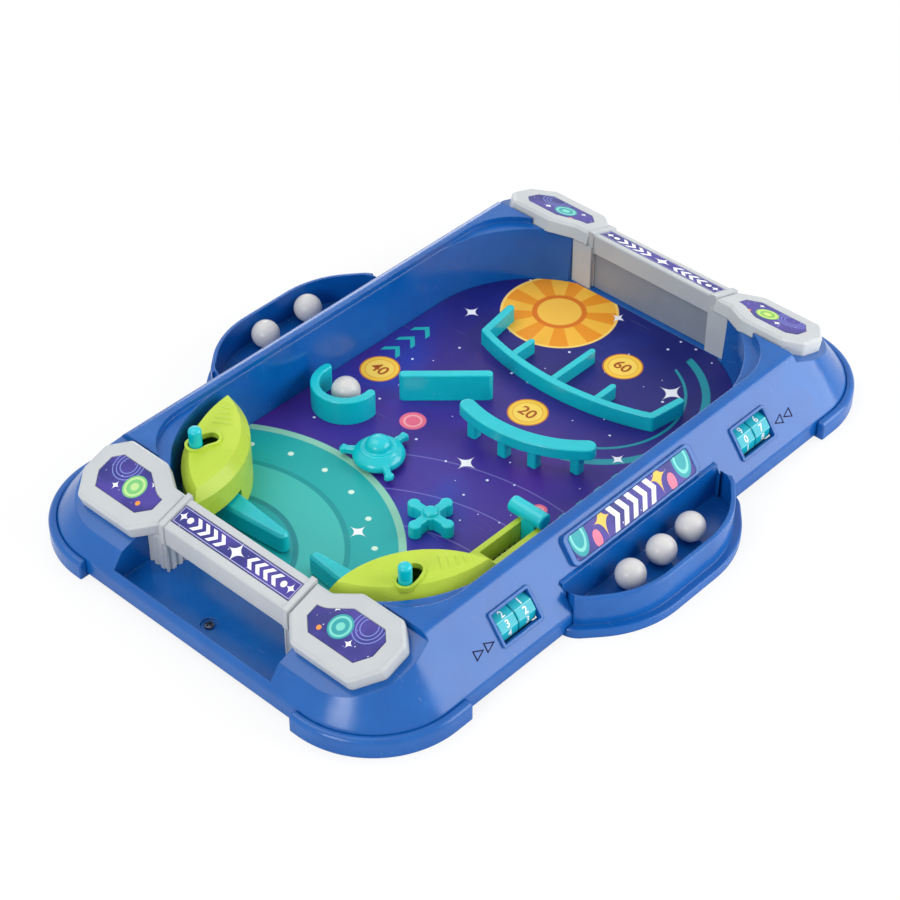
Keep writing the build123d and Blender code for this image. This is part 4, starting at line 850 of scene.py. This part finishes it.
steel = drawn_steel("bright_steel", (0.42, 0.42, 0.43, 1), (0.58, 0.58, 0.58, 1))
pin_edge = 0.0002
for side in ("left", "right"):
    dress(side + "_flipper", side + "_flipper", toy_teal, 0.0005)
    dress(side + "_pivot_pin", "game_body", steel, pin_edge)
for end in ("near", "far"):
    dress(end + "_drum_axle", "game_body", steel, pin_edge)

# Launcher: a teal striker whose foot slides in the hood's rails under a round cross bar, pushed towards
# the far end by one steel spring in the slot behind it. The spring rides on the game body at its full
# length and does not shorten as the bar is drawn back.
dress("launcher_striker", "striker", toy_teal, 0.0005)
spring = dress("launcher_spring", "game_body", steel, 0)
low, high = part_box("launcher_spring")
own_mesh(spring)

# Obstacles: separate teal mouldings screwed to the board from below: a cup, a wall, a pocket rail with
# fins and a bench gate, and two spinners that turn on steel pins.
for node in ("catch_cup", "deflector_wall", "pocket_rail", "bench_gate"):
    dress(node, "game_body", toy_teal, 0)
dress("star_spinner", "star", toy_teal, 0.0006)
for spinner in ("saucer", "star"):
    dress(spinner + "_pin", "game_body", steel, pin_edge)

inside_out = [0, 3, 2, 1]


def turned_rings(x, y, reach, level, turns):
    """Rings of points round an upright axis, one for each radius and height."""
    turn = np.arange(turns) * 2 * pi / turns
    plan_x, plan_y = x + reach[:, None] * np.cos(turn), y + reach[:, None] * np.sin(turn)
    return np.stack([plan_x, plan_y, np.repeat(level[:, None], turns, axis=1)], axis=-1).reshape(-1, 3)


def turned_disc(x, y, profile):
    """A closed profile of radius and height, eased between its points, turned round an upright axis."""
    rings, turns = 90, 128
    run = np.concatenate([[0], np.cumsum(np.hypot(*np.diff(profile, axis=0).T))])
    fine = np.linspace(0, run[-1], rings)
    reach, level = np.interp(fine, run, profile[:, 0]), np.interp(fine, run, profile[:, 1])
    ease = np.array([1, 2, 3, 2, 1]) / 9
    reach[2:-2], level[2:-2] = np.convolve(reach, ease, "valid"), np.convolve(level, ease, "valid")
    return turned_rings(x, y, reach, level, turns), ring_quads(rings, turns)[:, inside_out]


def bumper_arm(x, y, angle, start, end, low, high):
    """A straight arm with a section between an ellipse and a box. It narrows a little on its way out,
    swells to a round knob and closes at its end as a circle does."""
    rings, turns = 40, 48
    share, turn = np.meshgrid(np.linspace(0, 1, rings), np.arange(turns) * 2 * pi / turns, indexing="ij")
    knob = np.exp(-(((share - 0.82) / 0.12) ** 2))
    closing = np.sqrt(np.clip(1 - np.clip((share - 0.8) / 0.2, 0, 1) ** 2, 0.0004, 1))
    wide = (0.0021 - 0.0004 * share + 0.0009 * knob) * closing
    tall = ((high - low) / 2 - 0.0008 * share + 0.0003 * knob) * closing
    across = wide * np.sign(np.cos(turn)) * np.abs(np.cos(turn)) ** 0.6
    level = (low + high) / 2 - 0.0004 * share + tall * np.sign(np.sin(turn)) * np.abs(np.sin(turn)) ** 0.6
    run = start + (end - start) * share
    plan_x, plan_y = x + run * cos(angle) - across * sin(angle), y + run * sin(angle) + across * cos(angle)
    return np.stack([plan_x, plan_y, level], axis=-1).reshape(-1, 3), ring_quads(rings, turns)


saucer_x, saucer_y, saucer_level = -0.025, -0.039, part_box("saucer_spinner")[0].z
dome = [(0.0002, 15.0), (2.4, 14.8), (4.6, 13.9), (6.2, 12.4), (7.0, 10.6), (7.2, 9.4), (7.7, 8.9)]
dish = [(8.6, 9.2), (9.5, 9.1), (10.3, 8.2), (11.6, 7.3), (13.0, 6.0), (13.8, 4.7), (14.0, 3.6)]
foot = [(13.7, 2.4), (12.6, 1.1), (11.2, 0.0), (2.2, 0.0), (2.1, 0.2)]
millimetre = 1 / 1000
saucer_profile = np.array(dome + dish + foot) * millimetre + np.array([0, saucer_level])
arm_run, arm_levels = (0.0105, 0.0214), (saucer_level + 0.0015, saucer_level + 0.0065)
saucer_parts = [turned_disc(saucer_x, saucer_y, saucer_profile)]
for arm_turn in (90, 210, 330):
    saucer_parts.append(bumper_arm(saucer_x, saucer_y, radians(arm_turn), *arm_run, *arm_levels))
saucer = mesh_piece("saucer_surface", saucer_parts, toy_teal, "saucer")
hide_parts("saucer_spinner")

# Screws: blackened pan heads with a cross recess in the drain troughs, driven down into bosses under the
# floor, and the hidden bright ones that hold the obstacles from below.
black_steel = drawn_steel("black_steel", (0.045, 0.055, 0.08, 1), (0.075, 0.09, 0.13, 1))


def pan_head_screw(x, y, low, top, shank, head, rise):
    """A screw over radius and turn: the head's height falls off as a flat dome and sinks into a cross where
    either coordinate is small, then one ring runs down its edge, in under it and down the shank."""
    turns, rings = 72, 30
    spin = np.arange(turns) * 2 * pi / turns
    reach, turn = np.meshgrid(np.linspace(0, 1, rings)[1:], spin, indexing="ij")
    side = np.minimum(np.abs(np.cos(turn)), np.abs(np.sin(turn))) * reach
    cross = 1 / (1 + np.exp((side - 0.15) / 0.018)) / (1 + np.exp((reach - 0.66) / 0.025))
    dome = top - rise * (0.35 * reach**4 + 0.6 * cross)
    plan_x, plan_y = x + head * reach * np.cos(turn), y + head * reach * np.sin(turn)
    cap = np.stack([plan_x, plan_y, dome], axis=-1).reshape(-1, 3)
    rim_reach, rim_level = np.array([head, shank, shank]), np.array([top - rise, top - rise, low])
    wall = turned_rings(x, y, rim_reach, rim_level, turns)
    corners = np.concatenate([cap, wall, [(x, y, top - 0.6 * rise), (x, y, low)]])
    step, last = np.arange(turns), (rings + 1) * turns
    after = (step + 1) % turns
    middle = np.stack([np.full(turns, len(corners) - 2), step, after], axis=-1)
    end = np.stack([np.full(turns, len(corners) - 1), last + after, last + step], axis=-1)
    return corners, ring_quads(rings + 2, turns)[:, inside_out], middle, end


low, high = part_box("drain_screws")
shank_radius, head_radius, head_rise = 0.0013, high.x, 0.0014
screw_form = (low.z, high.z, shank_radius, head_radius, head_rise)
drain_y = high.y - (high.x - low.x) / 2
screws = [pan_head_screw(0.0, y, *screw_form) for y in (-drain_y, drain_y)]
screw_heads = mesh_piece("drain_screw_heads", screws, black_steel, "game_body")
screw_heads.data.set_sharp_from_angle(angle=radians(40))
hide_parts("drain_screws")
dress("floor_screws", "game_body", steel, 0.0003)

bpy.context.view_layer.update()
